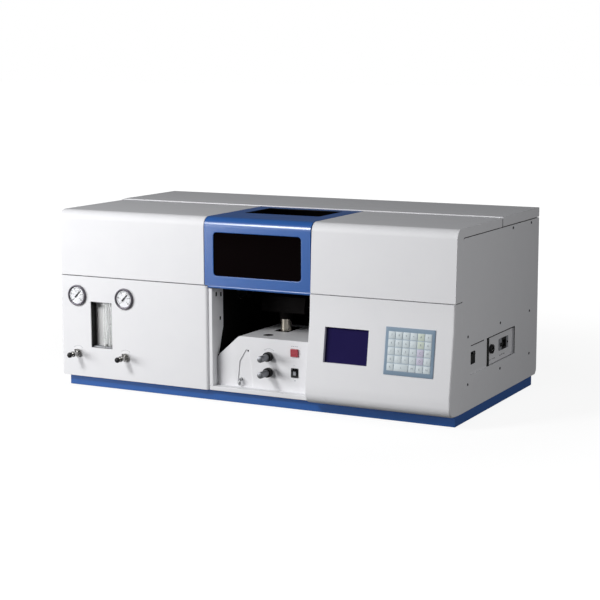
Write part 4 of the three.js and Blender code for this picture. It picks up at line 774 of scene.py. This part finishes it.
class SPECTROMETER_OT_flowmeter(bpy.types.Operator):
    """Recessed flowmeter with its scale plate, end blocks, clear tubes and floats"""
    bl_idname = "spectrometer.flowmeter"
    bl_label = "Flowmeter"

    def execute(self, context):
        refine("flowmeter_housing", "black_abs", 0.3)
        for side in ("left", "right"):
            low, high, middle = box_and_middle(f"flow_tube_{side}")
            length = (high.z - low.z) / MM
            tube = lathe([(0, 3.5), (0, 7.4), (0.6, 7.5), (length - 0.6, 7.5), (length, 7.4),
                          (length, 3.5), (0, 3.5)], UP, Vector((middle.x, middle.y, low.z)), 40)
            stand_in(f"flow_glass_{side}", tube, "clear_acrylic", f"flow_tube_{side}")
            low, high, middle = box_and_middle(f"flow_float_{side}")
            ball = lathe([(0, 0), (0, 1), (2.5, 2.9), (6.6, 3), (7, 2.2), (7.4, 2.2), (7.7, 3), (8, 3),
                          (8, 0)], UP, Vector((middle.x, middle.y, low.z)), 28)
            stand_in(f"flow_bob_{side}", ball, "black_abs", f"flow_float_{side}")
        low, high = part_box("flowmeter_housing")
        back = high.y - 4.2 * MM
        plate_left, plate_right = low.x + 5.4 * MM, high.x - 5.4 * MM
        plate = slab(Vector((plate_left, back - 1.0 * MM, low.z + 5.3 * MM)),
                     Vector((plate_right, back, high.z - 5.3 * MM)), 0.2)
        piece_from("flow_scale_plate", plate, "printed_card")
        blocks = bmesh.new()
        for z in (low.z + 2 * MM, high.z - 8 * MM):
            append_mesh(blocks, slab(Vector((plate_left, low.y + 4 * MM, z)),
                                     Vector((plate_right, back - 1.2 * MM, z + 6 * MM)), 0.6))
        piece_from("flow_end_blocks", blocks, "grey_abs")
        # Each tube has a scale of 41 marks, every fifth of them longer.
        ink, ink_y = bmesh.new(), back - 1.05 * MM
        scale_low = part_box("flow_tube_left")[0].z
        marks, pitch_mm, line = 41, 2.15, 0.35 * MM
        for side in ("left", "right"):
            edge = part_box(f"flow_tube_{side}")[0].x + 1.5 * MM
            for mark in range(marks):
                z = scale_low + (12 + mark * pitch_mm) * MM
                start = edge - (3.2 if mark % 5 == 0 else 1.8) * MM
                ink.faces.new([ink.verts.new(Vector((x, ink_y, v)))
                               for x, v in ((start, z), (edge, z), (edge, z + line), (start, z + line))])
        piece_from("flow_scale_marks", ink, "printing_ink")
        return {"FINISHED"}


class SPECTROMETER_OT_valves(bpy.types.Operator):
    """Needle valves with turned collars and knurled caps"""
    bl_idname = "spectrometer.valves"
    bl_label = "Needle valves"

    def execute(self, context):
        flutes = 24
        for side in ("left", "right"):
            low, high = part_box(f"needle_valve_{side}")
            middle = Vector(((low.x + high.x) / 2, high.y - 15 * MM, (low.z + high.z) / 2))
            stem = lathe([
                (-15, 0), (-15, 5.2), (0.3, 5.2), (0.3, 9.4), (0.8, 9.9), (4.4, 9.9), (5, 9.2), (5, 6.2),
                (6, 5.4), (18, 5.4), (19, 5.4), (20, 6.9), (23.4, 6.9), (24, 6.2), (24, 2.5), (36, 2.4),
                (36, 0)], OUTWARD, middle, 48)
            append_mesh(stem, lathe([(5.6, 0), (5.6, 2.6), (10.4, 2.6), (11, 2.0), (11, 0)], UP,
                                    middle + OUTWARD * 12.5 * MM, 24))
            stand_in(f"valve_stem_{side}", stem, "nickel_plate", f"needle_valve_{side}")
            knob_low, knob_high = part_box(f"valve_knob_{side}")
            depth = (knob_high.y - knob_low.y) / MM
            seat = Vector((middle.x, knob_high.y, middle.z))
            cap = fluted(lathe([
                (0, 2.8), (0, 5.4), (1.0, 6.2), (2.4, 6.5), (depth - 3.2, 6.5), (depth - 1.6, 5.9),
                (depth - 0.5, 4.6), (depth, 2.6), (depth, 0)], OUTWARD, seat, 96), seat, flutes, 6.1, 0.3)
            append_mesh(cap, lathe([(0, 2.8), (4.4, 2.8), (4.4, 0)], OUTWARD, seat, 72))
            stand_in(f"valve_cap_{side}", cap, "black_abs", f"valve_knob_{side}")
            arc = printed_arc(Vector((middle.x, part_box("gas_panel")[0].y, middle.z)))
            piece_from(f"valve_arc_{side}", arc, "grey_ink")
        return {"FINISHED"}


class SPECTROMETER_OT_display(bpy.types.Operator):
    """Recessed liquid crystal display with its bezel"""
    bl_idname = "spectrometer.display"
    bl_label = "Display"

    def execute(self, context):
        module = refine("display_module", "lilac_abs", 0.2)
        depths = [v.co.dot(PANEL_OUT) for v in module.data.vertices]
        # The screen is what faces out between the housing's back and its rim.
        back, rim = min(depths) + MM, max(depths) - 2 * MM
        repaint(module, "crystal_display", lambda c, n: (
            n.dot(PANEL_OUT) > 0.98 and back < c.dot(PANEL_OUT) < rim))
        return {"FINISHED"}


class SPECTROMETER_OT_keypad(bpy.types.Operator):
    """Membrane keypad with pale keys and figures"""
    bl_idname = "spectrometer.keypad"
    bl_label = "Keypad"

    def execute(self, context):
        bm = cad_mesh("keypad")
        low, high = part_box("keypad")
        front = max(v.co.dot(PANEL_OUT) for v in bm.verts)
        key_faces = [f for f in bm.faces if f.normal.dot(PANEL_OUT) > 0.99
                     and abs(f.calc_center_median().dot(PANEL_OUT) - front) < TOUCH]
        spots = [f.calc_center_median().copy() for f in key_faces]
        # The paler field between the keys ends this far outside them, and below their tops.
        margin = 0.6 * MM
        field = []
        for axis in (RIGHT, PANEL_UP):
            reach = [v.co.dot(axis) for f in key_faces for v in f.verts]
            field.append((axis, min(reach) - margin, max(reach) + margin))
        round_edges(bm, sharp_edges(bm), 0.35, 2)
        for axis, *ends in field:
            for end in ends:
                score(bm, axis * end, axis)
        film = stand_in("keypad_film", bm, "blue_film", "keypad")
        pale, green, lilac, mist = range(1, 5)
        # One column of keys, by its share of the pad's width, is green above, lilac lower down, then pale.
        column_from, column_to, green_to, lilac_to = 0.66, 0.79, 0.42, 0.74
        for tint in ("pale_film", "green_film", "lilac_film", "mist_film"):
            film.data.materials.append(bpy.data.materials[tint])
        for face in film.data.polygons:
            if face.center.dot(PANEL_OUT) > front - margin:
                share_x = (face.center.x - low.x) / (high.x - low.x)
                share_z = (high.z - face.center.z) / (high.z - low.z)
                tinted = column_from < share_x < column_to
                face.material_index = pale if not tinted or share_z >= lilac_to else (
                    green if share_z < green_to else lilac)
            elif face.normal.dot(PANEL_OUT) > 0.9 and all(
                    start < face.center.dot(axis) < end for axis, start, end in field):
                face.material_index = mist
        # Keys are numbered by rows from the top, each row from the left.
        spots.sort(key=lambda spot: (-round(spot.dot(PANEL_UP) / (4 * MM)), spot.x))
        for i, (spot, legend) in enumerate(zip(spots, "789+AF456-BG123xCH0.=/DJKLMEN", strict=True)):
            digits(f"key_figure_{i}", legend, spot + PANEL_OUT * 0.04 * MM, RIGHT, PANEL_UP, 6.5,
                   "grey_ink")
        return {"FINISHED"}


class SPECTROMETER_OT_burner_cover(bpy.types.Operator):
    """Moulded cover over the burner with its button, rocker and drain spout"""
    bl_idname = "spectrometer.burner_cover"
    bl_label = "Burner cover"

    def execute(self, context):
        cover_low, cover_high, heart = box_and_middle("burner_cover")
        face_y = cover_low.y
        niche_low, niche_high = cabinet(-36, 0, 41), cabinet(6, 0, 133)
        sight = cabinet(23.5, -194, 0)
        slot_low, slot_high = cabinet(8, -144, 0), cabinet(48, -68, 0)

        def niche(e):
            """The front edges of the drain's niche."""
            return all(abs(v.co.y - face_y) < TOUCH and niche_low.x < v.co.x < niche_high.x
                       and niche_low.z < v.co.z < niche_high.z for v in e.verts)

        def shaded(c, n):
            """The inside of the cover and the walls of the openings in its top, painted black as shade."""
            inside = n.dot(c - heart) < 0 and c.y > face_y + 8 * MM
            in_sight = math.hypot(c.x - sight.x, c.y - sight.y) < 12.9 * MM
            in_slot = slot_low.x < c.x < slot_high.x and slot_low.y < c.y < slot_high.y
            return inside or ((in_sight or in_slot) and abs(n.z) < 0.9)

        cover = refine("burner_cover", "white_abs", 0.9, segments=3, rounds=[(niche, 3.2)])
        repaint(cover, "black_heat_coat", shaded)
        refine("igniter_button", "red_polycarbonate", 0.6, segments=3)
        refine("drain_spout", "turned_aluminium", 0.4)
        # A grey patch on the rocker's face paints the highlight that its gloss catches.
        low, high, middle = box_and_middle("flame_rocker")
        half = Vector((3.4, 0, 4.6)) * MM
        rocker = refine("flame_rocker", "black_abs", 0.5, scores=[
            (middle + axis * half.dot(axis) * way, axis) for axis in (RIGHT, UP) for way in (-1, 1)])
        repaint(rocker, "grey_abs", lambda c, n: n.y < -0.5 and (
            abs(c.x - middle.x) < half.x and abs(c.z - middle.z) < half.z))
        bezel = outline_frame(
            Vector((middle.x, face_y, middle.z + ROCKER_LEAN)), RIGHT, UP,
            (high.x - low.x) / MM + 5.8, (high.z - low.z) / MM + 5.6, 1.6, 1.6, 1.0)
        piece_from("rocker_bezel", bezel, "black_abs")
        # A black blind cup under the sight hole in the cover's top paints the shade inside it.
        hole = Vector((sight.x, sight.y, cover_high.z - 3.3 * MM))
        cup = lathe([(0, 12.2), (0, 14), (-18, 14), (-18, 0)], UP, hole, 48)
        append_mesh(cup, lathe([(0, 12.2), (-17, 11.4), (-17, 0)], UP, hole, 48))
        piece_from("sight_hole_shade", cup, "black_heat_coat")
        # Bars stand for the words over the igniter and for the two marks of the rocker.
        labels = printed_bars(Vector((middle.x, face_y, middle.z)), RIGHT, UP, [
            *((u, 61.5, 2.6, 1.3) for u in (-7.5, -3.2, 1.8, 6.2)), (-1.6, 17.5, 1.4, 1.4),
            (0.4, -17, 3.4, 1.2)])
        piece_from("cover_labels", labels, "grey_ink")
        return {"FINISHED"}


class SPECTROMETER_OT_knobs(bpy.types.Operator):
    """Fluted adjusting knobs of the burner"""
    bl_idname = "spectrometer.knobs"
    bl_label = "Adjusting knobs"

    def execute(self, context):
        flutes = context.scene.spectrometer_finish.knob_flutes
        face_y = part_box("burner_cover")[0].y
        seats = {}
        for node in ("traverse_knob", "height_knob"):
            low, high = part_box(node)
            seat = seats[node] = Vector(((low.x + high.x) / 2, face_y, (low.z + high.z) / 2))
            end, reach = (high.y - face_y) / MM, (face_y - low.y) / MM
            shaft = lathe([(-end, 0), (-end, 2.6), (-end + 0.6, 3), (1.5, 3)], OUTWARD, seat, 32)
            append_mesh(shaft, lathe([(13.6, 7.5), (reach - 1.4, 7.5), (reach - 0.4, 7.0), (reach, 6.2),
                                      (reach, 0)], OUTWARD, seat, 48))
            stand_in(f"{node}_barrel", shaft, "grey_anodised", node)
            collar = fluted(lathe([(0.8, 3), (0.8, 10.2), (1.6, 10.9), (13.2, 10.9), (14, 10.2), (14, 7.5)],
                                  OUTWARD, seat, 168), seat, flutes, 9.8, 0.8)
            piece_from(f"{node}_collar", collar, "black_abs", node)
        piece_from("knob_arc", printed_arc(seats["traverse_knob"]), "grey_ink")
        return {"FINISHED"}


class SPECTROMETER_OT_burner(bpy.types.Operator):
    """Burner head, neck, spray chamber and nebulizer on their carriage"""
    bl_idname = "spectrometer.burner"
    bl_label = "Burner"

    def execute(self, context):
        # The burner head's titanium is coloured near black as painted shade of the bay.
        refine_all(
            ("burner_head", "browned_titanium", 0.6), ("burner_neck", "stainless", 0.4),
            ("spray_chamber", "black_abs", 0.6), ("nebulizer", "white_abs", 0.5),
            ("burner_carriage", "turned_aluminium", 0.4))
        return {"FINISHED"}


class SPECTROMETER_OT_optics(bpy.types.Operator):
    """Lamps on their turret, lens tubes, the monochromator and the electronics"""
    bl_idname = "spectrometer.optics"
    bl_label = "Optics"

    def execute(self, context):
        refine_all(
            ("lens_tube_left", "black_anodised", 0.4), ("lens_tube_right", "black_anodised", 0.4),
            ("lamp_turret", "turned_aluminium", 0.5), ("turret_bracket", "black_crackle", 0.5))
        # Each lamp plugs in by a black base, 34 mm long.
        for lamp in ("hollow_cathode_lamp_1", "hollow_cathode_lamp_2"):
            base_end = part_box(lamp)[0] + Vector((34 * MM, 0, 0))
            envelope = refine(lamp, "clear_glass", 0.6, scores=[(base_end, RIGHT)])
            repaint(envelope, "black_abs", lambda c, n: c.x < base_end.x)
        refine_all(
            ("monochromator_housing", "black_crackle", 0.6), ("grating_table", "turned_aluminium", 0.4),
            ("main_board", "solder_mask", 0.2), ("transformer", "black_crackle", 0.8))
        return {"FINISHED"}


class SPECTROMETER_OT_service(bpy.types.Operator):
    """Mains rocker, inlet with its pins, round socket, and the screws of the side panels"""
    bl_idname = "spectrometer.service"
    bl_label = "Service fittings"

    def execute(self, context):
        refine("mains_rocker", "black_abs", 0.5)
        # The inlet's grey flange carries a black core, with a fuse cap before it and a screw behind it.
        low, high, middle = box_and_middle("mains_inlet")
        core, fitting = 15.2 * MM, 22 * MM
        inlet = refine("mains_inlet", "grey_abs", 0.5, scores=[
            (middle + Vector((0, way * core, 0)), TO_REAR) for way in (-1, 1)])
        repaint(inlet, "black_abs", lambda c, n: abs(c.y - middle.y) < core)
        fuse = lathe([(0, 0), (0, 4.6), (1.2, 4.6), (1.6, 4.2), (3.4, 3.9), (3.8, 3.4), (3.8, 0)], RIGHT,
                     Vector((high.x, middle.y - fitting, middle.z)), 32)
        append_mesh(fuse, lathe([(0, 0), (0, 2.6), (1.0, 2.6), (1.6, 1.6), (1.6, 0)], RIGHT,
                                Vector((high.x, middle.y + fitting, middle.z)), 24))
        piece_from("inlet_fittings", fuse, "black_abs")
        # Round socket with five contacts, on the service plate's face.
        plate_x, socket_y, socket_z, contacts = 502, -30, 137, 5
        socket = lathe([(0, 10), (0, 10.6), (5.2, 10.6), (5.6, 10.2), (5.6, 7.0), (5.2, 6.8), (1.4, 6.8),
                        (1.4, 0)], RIGHT, cabinet(plate_x, socket_y, socket_z), 48)
        piece_from("data_socket", socket, "black_abs")
        tips = bmesh.new()
        for turn in range(contacts):
            angle = math.radians(36 + 360 / contacts * turn)
            at = cabinet(plate_x + 1.3, socket_y + 3.8 * math.cos(angle), socket_z + 3.8 * math.sin(angle))
            append_mesh(tips, lathe([(0, 0), (0, 0.7), (2.6, 0.7), (3.0, 0.3), (3.0, 0)], RIGHT, at, 12))
        piece_from("socket_contacts", tips, "nickel_plate")
        rocker = box_and_middle("mains_rocker")[2]
        seat = cabinet(507.75, 0, 0)
        seat.y, seat.z = rocker.y, rocker.z + ROCKER_LEAN
        bezel = outline_frame(seat, TO_REAR, UP, 25, 27, 1.6, 1.8, 2.0)
        piece_from("mains_rocker_bezel", bezel, "black_abs")
        # Dark rubber strips along the recess's top, its rear end and the step between its two parts paint the
        # shadows that fall there.
        shade_strips = bmesh.new()
        for low_corner, high_corner in (
                ((507.8, -171.6, 166.8), (509.7, -92, 168.8)), ((504, -58, 166.6), (509.7, 104, 168.8)),
                ((507.8, -70, 104.4), (509.8, -59.8, 168.8)), ((508.4, 103.6, 104.4), (509.5, 105.6, 168))):
            append_mesh(shade_strips, slab(cabinet(*low_corner), cabinet(*high_corner), 0.5))
        piece_from("recess_shade_strips", shade_strips, "nitrile_rubber")
        # Bars stand for the words below the socket and the inlet.
        legend = printed_bars(cabinet(plate_x, 0, 112), TO_REAR, UP, [
            (-34, 0, 7, 1.6), (-20, 0.4, 5, 1.6), (-8, 0, 8, 1.6),
            (30, 0, 6, 1.8), (42, 0.6, 8, 1.8), (55, 0, 7, 1.8)])
        piece_from("service_legend", legend, "printing_ink")
        pins = bmesh.new()
        for dy, dz in ((-7, -2), (7, -2), (0, 2.6)):
            spot = Vector((high.x - 16.6 * MM, middle.y + dy * MM, middle.z + dz * MM))
            append_mesh(pins, slab(
                spot - Vector((0, 1.0, 2.0)) * MM, spot + Vector((12.5, 1.0, 2.0)) * MM, 0.3))
        piece_from("inlet_pins", pins, "nickel_plate")
        # The same eight screws hold each side panel; the left ones are flatter.
        screws = bmesh.new()
        for face_x, way, radius_mm, height_mm in (
                (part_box("right_side_panel")[1].x, (1, 0, 0), 3.2, 1.2),
                (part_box("left_side_panel")[0].x, (-1, 0, 0), 2.6, 0.6)):
            for y, z in ((204, 399), (81, 399), (202, 190), (205, 87), (7, 191), (9, 86), (-190, 191),
                         (-188, 86)):
                at = cabinet(0, y, z)
                at.x = face_x
                append_mesh(screws, screw_head(at, way, radius_mm, height_mm))
        piece_from("side_screws", screws, "dark_screw")
        return {"FINISHED"}


# ---- Stage ----

def backdrop_share(tree, gloss_share):
    """How much of the white backdrop a ray sees: all from the camera or through glass, some in gloss."""
    path = add_node(tree, "ShaderNodeLightPath")
    through = add_node(tree, "ShaderNodeMath", {
        0: path.outputs["Is Camera Ray"], 1: path.outputs["Is Transmission Ray"]}, operation="MAXIMUM")
    gloss = add_node(tree, "ShaderNodeMath", {
        0: path.outputs["Is Glossy Ray"], 1: gloss_share}, operation="MULTIPLY")
    seen = add_node(tree, "ShaderNodeMath", {
        0: through.outputs[0], 1: gloss.outputs[0]}, operation="MAXIMUM")
    return seen.outputs[0]


def white_to_the_eye(name, gloss_share):
    """Grey floor that the camera sees as the white backdrop, with the object's shadow on it."""
    material = bpy.data.materials.new(name)
    material.use_nodes = True
    tree = material.node_tree
    principled = tree.nodes["Principled BSDF"]
    for socket, value in (("Base Color", (0.17, 0.17, 0.17, 1)), ("Roughness", 0.9),
                          ("Specular IOR Level", 0.0), ("Emission Color", (1, 1, 1, 1))):
        principled.inputs[socket].default_value = value
    place = add_node(tree, "ShaderNodeTexCoord")
    distance = add_node(tree, "ShaderNodeVectorMath", {0: place.outputs["Object"]}, operation="LENGTH")
    # The floor grows a little paler from 0.7 m to 2.2 m away, until it is as white as the sky behind it.
    rise = add_node(tree, "ShaderNodeMapRange", {
        "Value": distance.outputs["Value"], "From Min": 0.7, "From Max": 2.2, "To Min": 0.9, "To Max": 1.05})
    glow = add_node(tree, "ShaderNodeMath", {
        0: backdrop_share(tree, gloss_share), 1: rise.outputs["Result"]}, operation="MULTIPLY")
    tree.links.new(glow.outputs[0], principled.inputs["Emission Strength"])
    return material


class SPECTROMETER_OT_stage(bpy.types.Operator):
    """Pale floor, soft lights, even sky and the camera"""
    bl_idname = "spectrometer.stage"
    bl_label = "Stage"

    def execute(self, context):
        settings = context.scene.spectrometer_stage
        scene = context.scene
        floor_mesh = bpy.data.meshes.new("floor")
        bm = bmesh.new()
        bmesh.ops.create_grid(bm, x_segments=1, y_segments=1, size=30)
        bm.to_mesh(floor_mesh)
        bm.free()
        floor = bpy.data.objects.new("floor", floor_mesh)
        scene.collection.objects.link(floor)
        floor_mesh.materials.append(white_to_the_eye("pale_floor", settings.backdrop_in_gloss))

        world = bpy.data.worlds.new("even_sky")
        scene.world = world
        world.use_nodes = True
        tree = world.node_tree
        tree.nodes.clear()
        sky = add_node(tree, "ShaderNodeBackground", {
            "Color": (*settings.sky_colour, 1), "Strength": settings.sky_strength})
        backdrop = add_node(tree, "ShaderNodeBackground", {"Color": (1, 1, 1, 1), "Strength": 1.0})
        both = add_node(tree, "ShaderNodeMixShader", {
            0: backdrop_share(tree, settings.backdrop_in_gloss), 1: sky.outputs[0], 2: backdrop.outputs[0]})
        add_node(tree, "ShaderNodeOutputWorld", {"Surface": both.outputs[0]})

        # Each light's place from the cabinet's heart, width and height, all in metres.
        heart = cabinet(0, 0, 215)
        for name, offset, width, height, power in (
                ("front_light", Vector((-2.5, -2.4, 0.14)), 1.6, 1.5, settings.front_power),
                ("upper_light", Vector((-1.0, -2.1, 1.45)), 0.6, 0.5, settings.upper_power),
                ("side_light", Vector((2.6, -0.8, 0.5)), 0.9, 0.7, settings.side_power)):
            data = bpy.data.lights.new(name, "AREA")
            data.shape = "RECTANGLE"
            data.size = width
            data.size_y = height
            data.energy = power
            lamp = bpy.data.objects.new(name, data)
            scene.collection.objects.link(lamp)
            lamp.location = heart + offset
            lamp.rotation_euler = (-offset).to_track_quat("-Z", "Y").to_euler()

        data = bpy.data.cameras.new("camera")
        data.sensor_width = 36
        data.lens = settings.focal_length
        data.clip_end = 100
        camera = bpy.data.objects.new("camera", data)
        scene.collection.objects.link(camera)
        yaw, pitch, roll = (math.radians(angle) for angle in (27.66, 9.04, -0.18))
        turn = (Matrix.Rotation(yaw, 3, "Z") @ Matrix.Rotation(math.pi / 2 - pitch, 3, "X")
                @ Matrix.Rotation(roll, 3, "Z"))
        camera.matrix_world = Matrix.Translation(cabinet(1726.6, -3287.2, 798.6)) @ turn.to_4x4()
        scene.camera = camera
        scene.view_settings.view_transform = "Standard"
        return {"FINISHED"}


OPERATORS = (
    SPECTROMETER_OT_cabinet, SPECTROMETER_OT_rear, SPECTROMETER_OT_bay, SPECTROMETER_OT_hood,
    SPECTROMETER_OT_gauges, SPECTROMETER_OT_flowmeter, SPECTROMETER_OT_valves, SPECTROMETER_OT_display,
    SPECTROMETER_OT_keypad, SPECTROMETER_OT_burner_cover, SPECTROMETER_OT_knobs, SPECTROMETER_OT_burner,
    SPECTROMETER_OT_optics, SPECTROMETER_OT_service, SPECTROMETER_OT_stage,
)


class SPECTROMETER_PT_panel(bpy.types.Panel):
    """Shows the settings and the operators in the sidebar"""
    bl_idname = "SPECTROMETER_PT_panel"
    bl_label = "Spectrometer"
    bl_space_type = "VIEW_3D"
    bl_region_type = "UI"
    bl_category = "Spectrometer"

    def draw(self, context):
        for group in (context.scene.spectrometer_finish, context.scene.spectrometer_stage):
            for name in group.bl_rna.properties.keys():
                if name not in ("rna_type", "name"):
                    self.layout.prop(group, name)
        for operator in OPERATORS:
            self.layout.operator(operator.bl_idname)


CLASSES = (SpectrometerFinishSettings, SpectrometerStageSettings, *OPERATORS, SPECTROMETER_PT_panel)


def register():
    """Registers the classes and their settings."""
    for made in CLASSES:
        bpy.utils.register_class(made)
    bpy.types.Scene.spectrometer_finish = PointerProperty(type=SpectrometerFinishSettings)
    bpy.types.Scene.spectrometer_stage = PointerProperty(type=SpectrometerStageSettings)


def unregister():
    """Removes the classes and their settings."""
    del bpy.types.Scene.spectrometer_finish
    del bpy.types.Scene.spectrometer_stage
    for made in reversed(CLASSES):
        bpy.utils.unregister_class(made)


def main():
    """Makes every piece and the stage."""
    register()
    make_materials(bpy.context.scene.spectrometer_finish)
    for operator in OPERATORS:
        group, action = operator.bl_idname.split(".")
        getattr(getattr(bpy.ops, group), action)()


if __name__ == "__main__":
    main()
